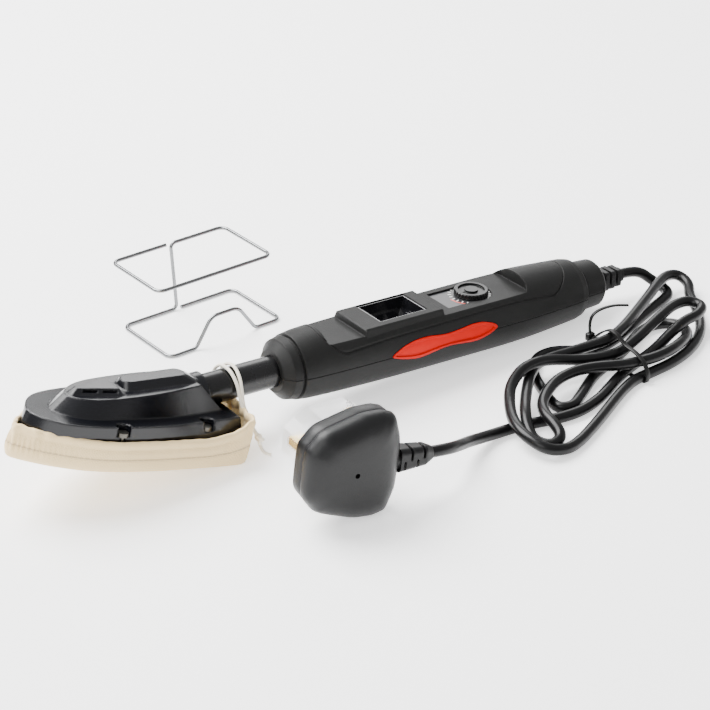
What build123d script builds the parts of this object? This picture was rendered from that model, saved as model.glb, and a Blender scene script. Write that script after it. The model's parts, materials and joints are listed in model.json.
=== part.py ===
"""Covering iron with a cloth sock, a dial handle, a plug on a tied cord and a bent-wire stand.

Millimetres, +Z up, floor at Z = 0. +X runs along the iron from the shoe's nose to the cord end,
+Y points to the side where the wire stand is. The origin is below the middle of iron and stand.
The shoe, the handle, the plug and the stand are each modelled in a frame of their own, in which
their faces are square, and are laid where they rest by the four Locations below.
"""

import os
from math import cos, pi, radians, sin, tan

from build123d import *

os.makedirs("parts", exist_ok=True)

# ---- how the pieces lie on the floor ------------------------------------------------------
MIDDLE_X = 74.45         # middle of iron and stand, from the heel of the shoe
MIDDLE_Y = 53.71
SOLE_TILT = 16.0         # nose of the shoe raised, heel on the floor
HANDLE_TILT = 3.5        # handle slopes down to the cord
HANDLE_X = 33.4          # front face of the handle, from the heel
HANDLE_Z = 28.5          # its axis above the floor
STAND_X, STAND_Y, STAND_YAW = 60.1, 110.3, 2.0
PLUG_X, PLUG_Y, PLUG_Z = 14.4, -86.0, 28.25
PLUG_YAW, PLUG_PITCH = -5.0, 8.0

FLOOR = Location((-MIDDLE_X, -MIDDLE_Y, 0))
SHOE = FLOOR * Location((0, 0, 0), (0, SOLE_TILT, 0))
HANDLE = FLOOR * Location((HANDLE_X, 0, HANDLE_Z), (0, HANDLE_TILT, 0))
STAND = FLOOR * Location((STAND_X, STAND_Y, 0), (0, 0, STAND_YAW))
PLUG = FLOOR * Location((PLUG_X, PLUG_Y, PLUG_Z), (0, 0, PLUG_YAW)) * Location((0, 0, 0), (0, PLUG_PITCH, 0))

FIT = 0.05               # radial clearance of a pin, shaft or screw in its hole
GAP = 0.15               # clearance between pieces that only lie beside each other

# ---- shoe: sole, heater and moulded housing (origin at the heel, on the sock's underside) --
SOCK_T = 1.0             # thickness of the sock's cloth
SOLE_L = 115.0           # length of the sole
SOLE_HALF = 27.3         # half of its greatest width
SOLE_T = 6.0             # thickness of the sole
HOUSING_WALL = 2.2
SHELF_Z = 22.3           # shelf between the housing's two tiers
DECK_Z = 29.5            # deck at the front end of the upper tier
DECK_RISE = 4.8          # its slope, degrees
CAP_H = 2.8              # vent hump above the deck
RIDGE_H = 3.8            # ridge over the neck socket, above the deck
SCREW_SEAT_Z = 17.5      # floor of the four screw pockets
POCKET_R, POCKET_WALL = 3.6, 1.3
SCREW_SPOTS = [(-71.0, 22.9), (-24.0, 21.4)]
MICA_T = 0.4
RIBBON_T = 1.0
CLAMP_T = 1.5

# ---- neck ---------------------------------------------------------------------------------
TUBE_R = 8.0
TUBE_WALL = 1.0
TUBE_IN_SHOE = 62.0      # from the handle's front face towards the shoe
TUBE_IN_HANDLE = 30.0
COLLAR_R, COLLAR_T = 10.2, 3.0

# ---- handle (origin at the centre of its front face, axis along X) ------------------------
BODY_R = 19.4            # greatest radius
WALL = 2.4
PARTING = 0.3            # visible joint between the two halves
LIP_H = 1.2
BODY_END = 192.0
HANDLE_L = 207.0
FLAT_Z = 13.0            # flat on top
FLAT_FROM, FLAT_TO, FLAT_HALF = 25.0, 151.0, 13.9
SHOULDER_HALF = 16.3     # groove round the shoulder
BEZEL_FROM, BEZEL_TO, BEZEL_HALF, BEZEL_Z = 47.0, 95.2, 13.3, 16.2
WELL_FROM, WELL_TO, WELL_NEAR, WELL_FAR = 58.6, 88.3, -9.0, 12.3
WELL_FLOOR_Z = 3.0
TRAY_WALL = 1.0
DIAL_X, DIAL_Y, DIAL_R, DIAL_H = 124.0, 1.0, 9.0, 2.8
RECESS_FROM, RECESS_HALF, RECESS_R, RECESS_D = 102.3, 9.5, 10.7, 1.4
PLATE_T = 0.5
SHAFT_R = 3.0
BOARD_T = 1.6
BOARD_FROM, BOARD_TO, BOARD_HALF = 93.5, 166.0, 12.0
HANDLE_SCREWS_X = [42.0, 98.0, 160.0]
SCREW_R = 1.45
HEAD_R, HEAD_H = 2.8, 2.0
CROSS_W = 0.8            # width of a screw's cross recess
CORD_R = 2.9
RELIEF_L = 20.0          # ribbed strain relief behind the handle

# ---- stand, plug --------------------------------------------------------------------------
WIRE_R = 1.0
STAND_L, STAND_W, STAND_H = 71.0, 45.5, 40.0
PLUG_T = 20.0
PLUG_HALF = 26.0         # half width across the line and neutral pins
PIN_PITCH = 22.2         # between pin centres, both ways
EARTH_L, BLADE_L = 22.7, 17.7


def shoe_line(half, length, heel, nose):
    """Closed outline of the sole or of a tier: a curve round the nose and a straight heel."""
    span = length + heel
    near = [(heel, -0.955 * half), (heel - 0.25 * span, -half), (heel - 0.5 * span, -0.975 * half),
            (heel - 0.71 * span, -0.84 * half), (heel - 0.9 * span, -0.47 * half), (-length, -nose)]
    far = [(x, -y) for x, y in reversed(near)]
    Spline(*near)
    Line(near[-1], far[0])
    Spline(*far)
    Line(far[-1], near[0])


def tier_line(points):
    """Closed outline of a housing tier from its near side, mirrored, with a straight heel."""
    far = [(x, -y) for x, y in reversed(points)]
    Spline(*points)
    Line(points[-1], far[0])
    Spline(*far)
    Line(far[-1], points[0])


def block(outlines):
    """Solid between two outlines, each given as (height, function that draws it)."""
    with BuildPart() as made:
        for height, draw in outlines:
            with BuildSketch(Plane.XY.offset(height)):
                with BuildLine():
                    draw()
                make_face()
        loft(ruled=True)
    return made.part


SOLE_Z = SOCK_T + 0.1                # underside of the sole
SOLE_TOP = SOLE_Z + SOLE_T
DECK = Plane(origin=(-92.0, 0, DECK_Z), x_dir=(1, 0, tan(radians(DECK_RISE))),
             z_dir=(-tan(radians(DECK_RISE)), 0, 1))


def lower_foot(inset):
    """Foot of the lower tier, on the sole."""
    return lambda: shoe_line(SOLE_HALF - 0.9 - inset, SOLE_L - 2.0 - inset, -2.0 - inset, 2.0)


def lower_top(inset):
    """Outline of the shelf at the top of the lower tier."""
    return lambda: tier_line([(-4.0 - inset, -20.0 + inset), (-28.0, -23.6 + inset), (-50.0, -25.5 + inset),
                              (-76.0, -23.8 + inset), (-88.0, -21.4 + inset), (-98.0, -17.2 + inset),
                              (-104.5 + inset / 2, -10.8 + inset), (-108.6 + inset, -2.2)])


def upper_foot(inset):
    """Foot of the upper tier, on the shelf."""
    return lambda: tier_line([(-8.0 - inset, -11.0 + inset), (-40.0, -16.5 + inset), (-67.0, -16.2 + inset),
                              (-88.0, -12.6 + inset), (-98.6 + inset, -1.8)])


def upper_top(inset):
    """The same outline carried up past the deck."""
    return lambda: tier_line([(-26.0 - inset, -9.4 + inset), (-44.0, -10.9 + inset), (-63.0, -10.8 + inset),
                              (-76.0, -7.6 + inset), (-83.0 + inset, -1.6)])


UPPER_TOP_Z = 38.0
lower_tier = block([(SOLE_TOP + GAP, lower_foot(0)), (SHELF_Z, lower_top(0))])
upper_tier = block([(SHELF_Z - 1.0, upper_foot(0)), (UPPER_TOP_Z, upper_top(0))])
lower_room = block([(SOLE_TOP, lower_foot(HOUSING_WALL)), (SHELF_Z - HOUSING_WALL, lower_top(HOUSING_WALL))])
upper_room = block([(SHELF_Z - HOUSING_WALL - 1.0, upper_foot(HOUSING_WALL)),
                    (UPPER_TOP_Z - HOUSING_WALL, upper_top(HOUSING_WALL))])

# The neck's axis seen from the shoe: it passes through the handle's front face.
NECK_ANGLE = SOLE_TILT - HANDLE_TILT
FACE_X = HANDLE_X * cos(radians(SOLE_TILT)) - HANDLE_Z * sin(radians(SOLE_TILT))
FACE_Z = HANDLE_X * sin(radians(SOLE_TILT)) + HANDLE_Z * cos(radians(SOLE_TILT))
NECK = Plane(origin=(FACE_X, 0, FACE_Z), x_dir=(0, 1, 0),
             z_dir=(-cos(radians(NECK_ANGLE)), 0, -sin(radians(NECK_ANGLE))))
SLEEVE_WALL = 2.0
SLEEVE_FROM, SLEEVE_TO = 41.0, 60.0      # along the neck, from the handle's front face
SLOT_H = 1.1             # vent slots in the sides of the hump
HUMP_FLARE, HUMP_TURN = 0.36, 19.7
TUBE_ROOM = 1.0          # free length past the tube's end

screw_places = [(x, side * y) for x, y in SCREW_SPOTS for side in (-1, 1)]
with BuildPart() as shoe_columns:
    with BuildSketch(Plane.XY.offset(SOLE_TOP + GAP)):
        with Locations(*screw_places):
            Circle(POCKET_R + POCKET_WALL)
    extrude(amount=SHELF_Z - SOLE_TOP - GAP)
    add(lower_tier, mode=Mode.INTERSECT)

with BuildPart() as shoe_housing:
    add(lower_tier)
    add(upper_tier)
    split(bisect_by=DECK, keep=Keep.BOTTOM)
    # vent hump on the deck
    with BuildSketch(DECK):
        Polygon((3.0, -2.4), (27.0, -11.0), (27.0, 11.0), (3.0, 2.4), align=None)
        fillet(vertices(), radius=1.2)
    with BuildSketch(DECK.offset(CAP_H)):
        Polygon((6.0, -1.5), (25.6, -7.4), (25.6, 7.4), (6.0, 1.5), align=None)
        fillet(vertices(), radius=0.9)
    loft(ruled=True)
    # ridge over the neck socket
    with BuildSketch(DECK):
        with Locations((50.5, 0)):
            RectangleRounded(42.0, 14.0, 4.5)
    with BuildSketch(DECK.offset(RIDGE_H)):
        with Locations((47.5, 0)):
            RectangleRounded(34.0, 8.6, 4.0)
    loft(ruled=True)
    # sleeve that the neck tube is held in
    with BuildSketch(NECK.offset(SLEEVE_FROM)):
        Circle(TUBE_R + SLEEVE_WALL)
    extrude(amount=SLEEVE_TO - SLEEVE_FROM)
    add(lower_room, mode=Mode.SUBTRACT)
    roof = split(upper_room, bisect_by=DECK.offset(-HOUSING_WALL), keep=Keep.BOTTOM, mode=Mode.PRIVATE)
    add(roof, mode=Mode.SUBTRACT)
    with BuildSketch(NECK.offset(SLEEVE_FROM + 2.0)):
        Circle(TUBE_R + SLEEVE_WALL - 0.01)
    extrude(amount=SLEEVE_TO - SLEEVE_FROM - 3.0)
    with BuildSketch(NECK.offset(SLEEVE_FROM - 30.0)):
        Circle(TUBE_R + FIT)
    extrude(amount=TUBE_IN_SHOE + TUBE_ROOM - SLEEVE_FROM + 30.0, mode=Mode.SUBTRACT)
    # columns, pockets and holes of the four screws
    add(shoe_columns.part)
    with BuildSketch(Plane.XY.offset(SCREW_SEAT_Z)):
        with Locations(*screw_places):
            Circle(POCKET_R)
    extrude(amount=DECK_Z - SCREW_SEAT_Z, mode=Mode.SUBTRACT)
    with BuildSketch(Plane.XY.offset(SOLE_TOP)):
        with Locations(*screw_places):
            Circle(SCREW_R + 0.25)
    extrude(amount=DECK_Z - SOLE_TOP, mode=Mode.SUBTRACT)
    # two vent slots on each side of the hump, open to the inside
    with BuildSketch(DECK.offset(1.0)):
        for x in (11.5, 20.5):
            for side in (-1, 1):
                with Locations(Location((x, side * (x * HUMP_FLARE + 0.4), 0), (0, 0, side * HUMP_TURN))):
                    Rectangle(7.0, 5.0)
    extrude(amount=SLOT_H, mode=Mode.SUBTRACT)

with BuildPart() as sole_plate:
    with BuildSketch(Plane.XY.offset(SOLE_Z)):
        with BuildLine():
            shoe_line(SOLE_HALF, SOLE_L, 0.0, 2.0)
        make_face()
    extrude(amount=SOLE_T)
    chamfer(edges().group_by(Axis.Z)[0], length=1.2)
    with BuildSketch(Plane.XY.offset(SOLE_Z + 1.5)):
        with Locations(*screw_places):
            Circle(SCREW_R + FIT)
    extrude(amount=SOLE_T, mode=Mode.SUBTRACT)

SEAT_TOP = SOLE_TOP + 0.05
HEATER_FROM, HEATER_TO, HEATER_HALF = -92.0, -14.0, 13.0


def heater_sheet(base, shrink):
    """Outline of one sheet of the heater stack, tapered towards the nose."""
    with BuildSketch(Plane.XY.offset(base)) as sheet:
        Polygon((HEATER_TO - shrink, -HEATER_HALF + shrink), (HEATER_TO - shrink, HEATER_HALF - shrink),
                (-60.0, HEATER_HALF - shrink), (HEATER_FROM + shrink, 4.0), (HEATER_FROM + shrink, -4.0),
                (-60.0, -HEATER_HALF + shrink), align=None)
    return sheet.sketch


with BuildPart() as mica_sheets:
    extrude(heater_sheet(SEAT_TOP, 0), amount=MICA_T)
    extrude(heater_sheet(SEAT_TOP + MICA_T + RIBBON_T + 0.1, 0), amount=MICA_T)

RIBBON_Z = SEAT_TOP + MICA_T + 0.05
with BuildPart() as heating_element:
    with BuildSketch(Plane.XY.offset(RIBBON_Z)):
        for row in range(10):
            with Locations((-20.0 - 7.0 * row, 0)):
                Rectangle(3.0, 20.0 if row < 6 else 12.0)
        for row in range(9):
            reach = 9.0 if row < 5 else 5.2
            with Locations((-23.5 - 7.0 * row, reach if row % 2 else -reach)):
                Rectangle(10.0, 2.0)
    extrude(amount=RIBBON_T)

CLAMP_Z = RIBBON_Z + RIBBON_T + MICA_T + 0.1
with BuildPart() as heater_clamp:
    extrude(heater_sheet(CLAMP_Z, 2.0), amount=CLAMP_T)

with BuildPart() as thermal_fuse:
    with BuildSketch(Plane.YZ.offset(-72.0)):
        with Locations((0, CLAMP_Z + CLAMP_T + 2.1)):
            Circle(2.0)
    extrude(amount=11.0)

with BuildPart() as shoe_screws:
    with BuildSketch(Plane.XY.offset(SOLE_Z + 2.0)):
        with Locations(*screw_places):
            Circle(SCREW_R)
    extrude(amount=SCREW_SEAT_Z - SOLE_Z)
    with BuildSketch(Plane.XY.offset(SCREW_SEAT_Z + 0.02)):
        with Locations(*screw_places):
            Circle(HEAD_R)
    extrude(amount=HEAD_H)
    with BuildSketch(Plane.XY.offset(SCREW_SEAT_Z + HEAD_H)):
        with Locations(*screw_places):
            Rectangle(4.0, CROSS_W)
            Rectangle(CROSS_W, 4.0)
    extrude(amount=-1.0, mode=Mode.SUBTRACT)

# ---- sock: cloth round the sole, open above, gathered at the heel --------------------------
SOCK_SIDE_Z, SOCK_NOSE_Z, SOCK_HEEL_Z = 15.4, 17.0, 24.0
sock_outside = block([
    (0.0, lambda: shoe_line(SOLE_HALF + SOCK_T - 0.8, SOLE_L + SOCK_T - 0.8, 0.0, 3.0)),
    (1.5, lambda: shoe_line(SOLE_HALF + SOCK_T + 0.2, SOLE_L + SOCK_T + 0.2, SOCK_T + 0.4, 3.0)),
    (SOCK_HEEL_Z, lambda: shoe_line(SOLE_HALF + SOCK_T + 0.5, SOLE_L + SOCK_T + 0.7, SOCK_T + 0.4, 3.0))])
sock_inside = block([
    (SOLE_Z - 0.05, lambda: shoe_line(SOLE_HALF + GAP, SOLE_L + GAP, GAP, 2.4)),
    (SOCK_HEEL_Z + 1.0, lambda: shoe_line(SOLE_HALF + GAP + 0.5, SOLE_L + GAP + 0.7, GAP, 2.4))])
with BuildPart() as sock:
    add(sock_outside)
    add(sock_inside, mode=Mode.SUBTRACT)
    with BuildSketch(Plane.XZ.offset(-40.0)):
        Polygon((-130.0, SOCK_NOSE_Z + 1.5), (-100.0, SOCK_NOSE_Z - 0.4), (-75.0, SOCK_SIDE_Z),
                (-25.0, SOCK_SIDE_Z + 0.6), (-12.0, SOCK_SIDE_Z + 3.5), (2.0, SOCK_HEEL_Z - 1.5),
                (2.0, 40.0), (-130.0, 40.0), align=None)
    extrude(amount=80.0, mode=Mode.SUBTRACT)

# ---- neck ---------------------------------------------------------------------------------
with BuildPart() as neck_tube:
    with BuildSketch(Plane.YZ.offset(-TUBE_IN_SHOE)):
        Circle(TUBE_R)
        Circle(TUBE_R - TUBE_WALL, mode=Mode.SUBTRACT)
    extrude(amount=TUBE_IN_SHOE + TUBE_IN_HANDLE)

NOSE_BLOCK = 16.0
with BuildPart() as neck_collar:
    with BuildSketch(Plane.YZ.offset(NOSE_BLOCK + 0.3)):
        Circle(COLLAR_R)
        Circle(TUBE_R + 0.02, mode=Mode.SUBTRACT)
    extrude(amount=COLLAR_T)


def barrel(skin, start=0.0):
    """Solid of the handle's outer shape, grown or shrunk by skin, round the X axis."""
    nose = [(3.8, 14.8), (4.2, 15.4), (8.4, 16.2), (8.6, 15.3), (9.7, 15.3), (9.9, 16.8), (15.0, 17.5)]
    body = [(17.0, 17.7), (40.0, 18.6), (90.0, BODY_R - 0.1), (120.0, BODY_R), (150.0, BODY_R - 0.2),
            (172.0, BODY_R - 1.4), (187.0, BODY_R - 2.5)]
    tail = [(190.6, BODY_R - 3.3), (BODY_END, BODY_R - 4.8), (BODY_END, 13.7), (205.4, 12.9), (HANDLE_L, 11.6)]
    with BuildPart() as made:
        with BuildSketch(Plane.XY):
            with BuildLine():
                Polyline((start, 0), (start, 10.8 + skin), *[(x, r + skin) for x, r in nose],
                         (body[0][0], body[0][1] + skin))
                Spline(*[(x, r + skin) for x, r in body])
                Polyline((body[-1][0], body[-1][1] + skin), *[(x, r + skin) for x, r in tail],
                         (HANDLE_L, 0), (start, 0))
            make_face()
        revolve(axis=Axis.X)
    return made.part


RING_BORE_R = 9.5
outside = barrel(0.0)
with BuildPart() as hollow:
    add(barrel(-WALL))
    with BuildSketch(Plane.XY.offset(FLAT_Z - WALL)):
        Rectangle(600.0, 80.0)
    extrude(amount=20.0, mode=Mode.SUBTRACT)
    with BuildSketch(Plane.YZ.offset(-1.0)):
        Circle(30.0)
    extrude(amount=NOSE_BLOCK + 1.0, mode=Mode.SUBTRACT)
    with BuildSketch(Plane.YZ.offset(BODY_END - WALL)):
        Circle(30.0)
    extrude(amount=30.0, mode=Mode.SUBTRACT)
    with BuildSketch(Plane.YZ.offset(BODY_END - 4.0)):
        Circle(RING_BORE_R)
    extrude(amount=HANDLE_L - 3.0 - BODY_END + 4.0)

RELIEF_NECK_R = 4.6
with BuildPart() as end_bores:
    with BuildSketch(Plane.YZ.offset(-1.0)):
        Circle(TUBE_R + FIT)
    extrude(amount=NOSE_BLOCK + 2.0)
    with BuildSketch(Plane.YZ.offset(HANDLE_L - 5.0)):
        Circle(RELIEF_NECK_R + FIT)
    extrude(amount=8.0)

INLAY_Y = 16.6
INLAY_X, INLAY_Z, INLAY_HALF_L, INLAY_HALF_H = 93.0, 1.2, 33.0, 4.8
INLAY_POINTS = [(60.3, 1.0), (76.8, 6.0), (83.8, 5.9), (92.8, 4.9), (107.5, 5.8), (121.0, 4.6), (126.0, 1.6),
                (122.0, -1.2), (109.4, -3.2), (94.5, -1.8), (81.0, -3.6), (64.0, -1.4)]


def inlay_outline(grow):
    """Points of the inlay's outline, stretched about its middle so that each side moves out by grow."""
    return [(INLAY_X + (x - INLAY_X) * (1 + grow / INLAY_HALF_L), INLAY_Z + (z - INLAY_Z) * (1 + grow / INLAY_HALF_H))
            for x, z in INLAY_POINTS]


def inlay_bar(grow, side):
    """Prism of the side inlay's outline, through the handle's wall on one side."""
    with BuildPart() as made:
        with BuildSketch(Plane.XZ.offset(-side * INLAY_Y)):
            with BuildLine():
                Spline(*inlay_outline(grow), periodic=True)
            make_face()
        extrude(amount=-side * 6.0)
    return made.part


INLAY_SEAT = 1.2
seat_core = barrel(-INLAY_SEAT)
inlay_bars = {side: inlay_bar(0.12, side) - seat_core for side in (-1, 1)}

with BuildPart() as shoulder_tool:
    for grow, mode in ((0.35, Mode.ADD), (-0.35, Mode.SUBTRACT)):
        with BuildSketch(Plane.XY):
            with BuildLine():
                Line((35.0, -SHOULDER_HALF), (164.0, -SHOULDER_HALF))
                ThreePointArc((164.0, -SHOULDER_HALF), (164.0 + SHOULDER_HALF, 0), (164.0, SHOULDER_HALF))
                Line((164.0, SHOULDER_HALF), (35.0, SHOULDER_HALF))
                ThreePointArc((35.0, SHOULDER_HALF), (26.6, 12.8), (23.0, 5.0))
                Line((23.0, 5.0), (23.0, -5.0))
                ThreePointArc((23.0, -5.0), (26.6, -12.8), (35.0, -SHOULDER_HALF))
            make_face()
            offset(amount=grow)
        extrude(amount=30.0, mode=mode)
    add(barrel(-0.45), mode=Mode.SUBTRACT)


def lip_ring(outer_skin, inner_skin, foot, top, shorter):
    """Band inside the joint of the two halves, between two heights."""
    with BuildPart() as made:
        add(barrel(outer_skin))
        with BuildSketch(Plane.XY.offset(foot)):
            with Locations(((NOSE_BLOCK + BODY_END - WALL) / 2, 0)):
                Rectangle(BODY_END - WALL - NOSE_BLOCK - 2.0 - shorter, 3 * BODY_R)
        extrude(amount=top - foot, mode=Mode.INTERSECT)
        add(barrel(inner_skin), mode=Mode.SUBTRACT)
    return made.part


rebate = lip_ring(-WALL / 2, -WALL - 1.2, PARTING / 4, LIP_H + 0.1, 0.0)
lip = lip_ring(-WALL / 2 - 0.1, -WALL + 0.2, -1.0, LIP_H, 0.2)
SCREW_COLUMN_R = 3.6
with BuildPart() as handle_upper:
    add(outside)
    add(shoulder_tool.part, mode=Mode.SUBTRACT)
    # flat on top, with a round rear end
    with BuildSketch(Plane.XY.offset(FLAT_Z)):
        with Locations(((FLAT_FROM + FLAT_TO) / 2, 0)):
            RectangleRounded(FLAT_TO - FLAT_FROM, 2 * FLAT_HALF + 4.0, 7.0)
    extrude(amount=12.0, mode=Mode.SUBTRACT)
    # raised frame of the display well
    with BuildSketch(Plane.XY.offset(FLAT_Z - 4.6)):
        with Locations(((BEZEL_FROM + BEZEL_TO) / 2, 0)):
            RectangleRounded(BEZEL_TO - BEZEL_FROM + 3.6, 2 * BEZEL_HALF + 4.4, 1.6)
    with BuildSketch(Plane.XY.offset(BEZEL_Z)):
        with Locations(((BEZEL_FROM + BEZEL_TO) / 2, 0)):
            RectangleRounded(BEZEL_TO - BEZEL_FROM, 2 * BEZEL_HALF, 1.0)
    loft(ruled=True)
    chamfer(faces().filter_by(Plane.XY).sort_by(Axis.Z)[-1].outer_wire().edges(), length=0.5)
    add(hollow.part, mode=Mode.SUBTRACT)
    # columns for the long handle screws
    with BuildSketch(Plane.XY.offset(PARTING / 2)):
        with Locations(*[(x, 0) for x in HANDLE_SCREWS_X]):
            Circle(SCREW_COLUMN_R)
    extrude(amount=FLAT_Z - WALL)
    add(end_bores.part, mode=Mode.SUBTRACT)
    with BuildSketch(Plane.XY.offset(-1.0)):
        with Locations(*[(x, 0) for x in HANDLE_SCREWS_X]):
            Circle(SCREW_R + FIT)
    extrude(amount=9.5, mode=Mode.SUBTRACT)
    # opening of the display well
    with BuildSketch(Plane.XY.offset(BEZEL_Z)):
        with Locations(((WELL_FROM + WELL_TO) / 2, (WELL_NEAR + WELL_FAR) / 2)):
            RectangleRounded(WELL_TO - WELL_FROM, WELL_FAR - WELL_NEAR, 0.6)
    extrude(amount=-12.0, mode=Mode.SUBTRACT)
    # recess of the dial plate, and the hole for the dial's shaft
    with BuildSketch(Plane.XY.offset(FLAT_Z)):
        with Locations(((RECESS_FROM + DIAL_X) / 2, DIAL_Y)):
            Rectangle(DIAL_X - RECESS_FROM, 2 * RECESS_HALF)
        with Locations((DIAL_X, DIAL_Y)):
            Circle(RECESS_R)
    extrude(amount=-RECESS_D, mode=Mode.SUBTRACT)
    with BuildSketch(Plane.XY.offset(FLAT_Z)):
        with Locations((DIAL_X, DIAL_Y)):
            Circle(5.2)
    extrude(amount=-6.0, mode=Mode.SUBTRACT)
    for side in (-1, 1):
        add(inlay_bars[side], mode=Mode.SUBTRACT)
    # the joint between the halves, and the rebate for the lower half's lip
    split(bisect_by=Plane.XY.offset(PARTING / 2), keep=Keep.TOP)
    add(rebate, mode=Mode.SUBTRACT)

SADDLE_FROM, SADDLE_L, SADDLE_HALF = 174.0, 8.0, 11.0
CLAMP_SCREW_Y = 7.0
lining = barrel(-WALL + 0.01)
with BuildPart() as saddle:
    with BuildSketch(Plane.YZ.offset(SADDLE_FROM)):
        with Locations((0, -10.0)):
            Rectangle(2 * SADDLE_HALF, 20.0 - 0.6)
        Circle(CORD_R + GAP, mode=Mode.SUBTRACT)
    extrude(amount=SADDLE_L)
    with BuildSketch(Plane.XY):
        with Locations((SADDLE_FROM + SADDLE_L / 2, CLAMP_SCREW_Y), (SADDLE_FROM + SADDLE_L / 2, -CLAMP_SCREW_Y)):
            Circle(1.0 + FIT)
    extrude(amount=-8.0, mode=Mode.SUBTRACT)

HEAD_SEAT_Z = -14.6
with BuildPart() as columns:
    for x in HANDLE_SCREWS_X:
        with BuildSketch(Plane.XY.offset(-18.5)):
            with Locations((x, 0)):
                Circle(5.0)
        extrude(amount=18.5 - 11.0)
        with BuildSketch(Plane.XY.offset(-11.0)):
            with Locations((x, 0)):
                Circle(SCREW_COLUMN_R)
        extrude(amount=11.0)

with BuildPart() as handle_lower:
    add(outside)
    add(hollow.part, mode=Mode.SUBTRACT)
    add(end_bores.part, mode=Mode.SUBTRACT)
    add((columns.part + saddle.part) & lining)
    with BuildSketch(Plane.XY.offset(-25.0)):
        with Locations(*[(x, 0) for x in HANDLE_SCREWS_X]):
            Circle(SCREW_R + FIT)
    extrude(amount=30.0, mode=Mode.SUBTRACT)
    with BuildSketch(Plane.XY.offset(-25.0)):
        with Locations(*[(x, 0) for x in HANDLE_SCREWS_X]):
            Circle(HEAD_R + 0.3)
    extrude(amount=25.0 + HEAD_SEAT_Z, mode=Mode.SUBTRACT)
    for side in (-1, 1):
        add(inlay_bars[side], mode=Mode.SUBTRACT)
    split(bisect_by=Plane.XY.offset(-PARTING / 2), keep=Keep.BOTTOM)
    add(lip)

# ---- side inlays: an outline with a raised rim, bent to the handle ---------------------------
inlays = {}
for side in (-1, 1):
    with BuildPart() as inlay:
        add(inlay_bar(0.0, side))
        add(barrel(0.55), mode=Mode.INTERSECT)
        add(barrel(-INLAY_SEAT + 0.06), mode=Mode.SUBTRACT)
        add(inlay_bar(-1.5, side) - barrel(-0.25), mode=Mode.SUBTRACT)
    inlays[side] = inlay

# ---- display well ---------------------------------------------------------------------------
WELL_MIDDLE = ((WELL_FROM + WELL_TO) / 2, (WELL_NEAR + WELL_FAR) / 2)
WELL_X, WELL_Y = WELL_TO - WELL_FROM, WELL_FAR - WELL_NEAR
TRAY_TOP = BEZEL_Z - 0.5
with BuildPart() as display_tray:
    with BuildSketch(Plane.XY.offset(WELL_FLOOR_Z)):
        with Locations(WELL_MIDDLE):
            RectangleRounded(WELL_X - 0.2, WELL_Y - 0.2, 0.5)
    extrude(amount=TRAY_TOP - WELL_FLOOR_Z)
    with BuildSketch(Plane.XY.offset(WELL_FLOOR_Z + TRAY_WALL)):
        with Locations(WELL_MIDDLE):
            Rectangle(WELL_X - 12.0, WELL_Y - 8.0)
    with BuildSketch(Plane.XY.offset(WELL_FLOOR_Z + 6.5)):
        with Locations(WELL_MIDDLE):
            Rectangle(WELL_X - 6.0, WELL_Y - 5.0)
    loft(ruled=True, mode=Mode.SUBTRACT)
    with BuildSketch(Plane.XY.offset(WELL_FLOOR_Z + 6.5)):
        with Locations(WELL_MIDDLE):
            Rectangle(WELL_X - 2 * TRAY_WALL - 0.2, WELL_Y - 2 * TRAY_WALL - 0.2)
    extrude(amount=TRAY_TOP - WELL_FLOOR_Z, mode=Mode.SUBTRACT)

# ---- dial, its plate, the regulator below it and the circuit board --------------------------
RECESS_Z = FLAT_Z - RECESS_D
with BuildPart() as dial_plate:
    with BuildSketch(Plane.XY.offset(RECESS_Z + 0.02)):
        with Locations(((RECESS_FROM + DIAL_X) / 2, DIAL_Y)):
            Rectangle(DIAL_X - RECESS_FROM - 0.2, 2 * RECESS_HALF - 0.2)
        with Locations((DIAL_X, DIAL_Y)):
            Circle(RECESS_R - 0.1)
            Circle(5.2, mode=Mode.SUBTRACT)
    extrude(amount=PLATE_T)

DIAL_Z = RECESS_Z + PLATE_T + 0.2
KNURLS = 30
with BuildPart() as thermostat_dial:
    with BuildSketch(Plane.XY.offset(DIAL_Z)):
        with Locations((DIAL_X, DIAL_Y)):
            Circle(DIAL_R)
    extrude(amount=DIAL_H)
    chamfer(faces().sort_by(Axis.Z)[-1].edges(), length=0.5)
    with BuildSketch(Plane.XY.offset(DIAL_Z + DIAL_H)):
        with Locations((DIAL_X, DIAL_Y)):
            Circle(7.0)
            Circle(3.6, mode=Mode.SUBTRACT)
    extrude(amount=-1.0, mode=Mode.SUBTRACT)
    with BuildSketch(Plane.XY.offset(DIAL_Z + 0.6)):
        with Locations((DIAL_X, DIAL_Y)):
            with PolarLocations(DIAL_R + 0.1, KNURLS):
                Circle(0.5)
    extrude(amount=DIAL_H, mode=Mode.SUBTRACT)
    with BuildSketch(Plane.XY.offset(DIAL_Z - 1.0)):
        with Locations((DIAL_X, DIAL_Y)):
            Circle(SHAFT_R)
    extrude(amount=2.5, mode=Mode.SUBTRACT)
    with BuildSketch(Plane.XY.offset(DIAL_Z + DIAL_H)):
        with Locations((DIAL_X - 5.3, DIAL_Y)):
            Rectangle(2.6, 0.8)
    extrude(amount=-1.4, mode=Mode.SUBTRACT)

BOARD_Z = -1.0
REGULATOR_R, REGULATOR_TOP = 8.0, 6.5
with BuildPart() as dial_shaft:
    with BuildSketch(Plane.XY.offset(BOARD_Z + 3.0)):
        with Locations((DIAL_X, DIAL_Y)):
            Circle(SHAFT_R)
    extrude(amount=DIAL_Z + 1.45 - BOARD_Z - 3.0)

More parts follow.
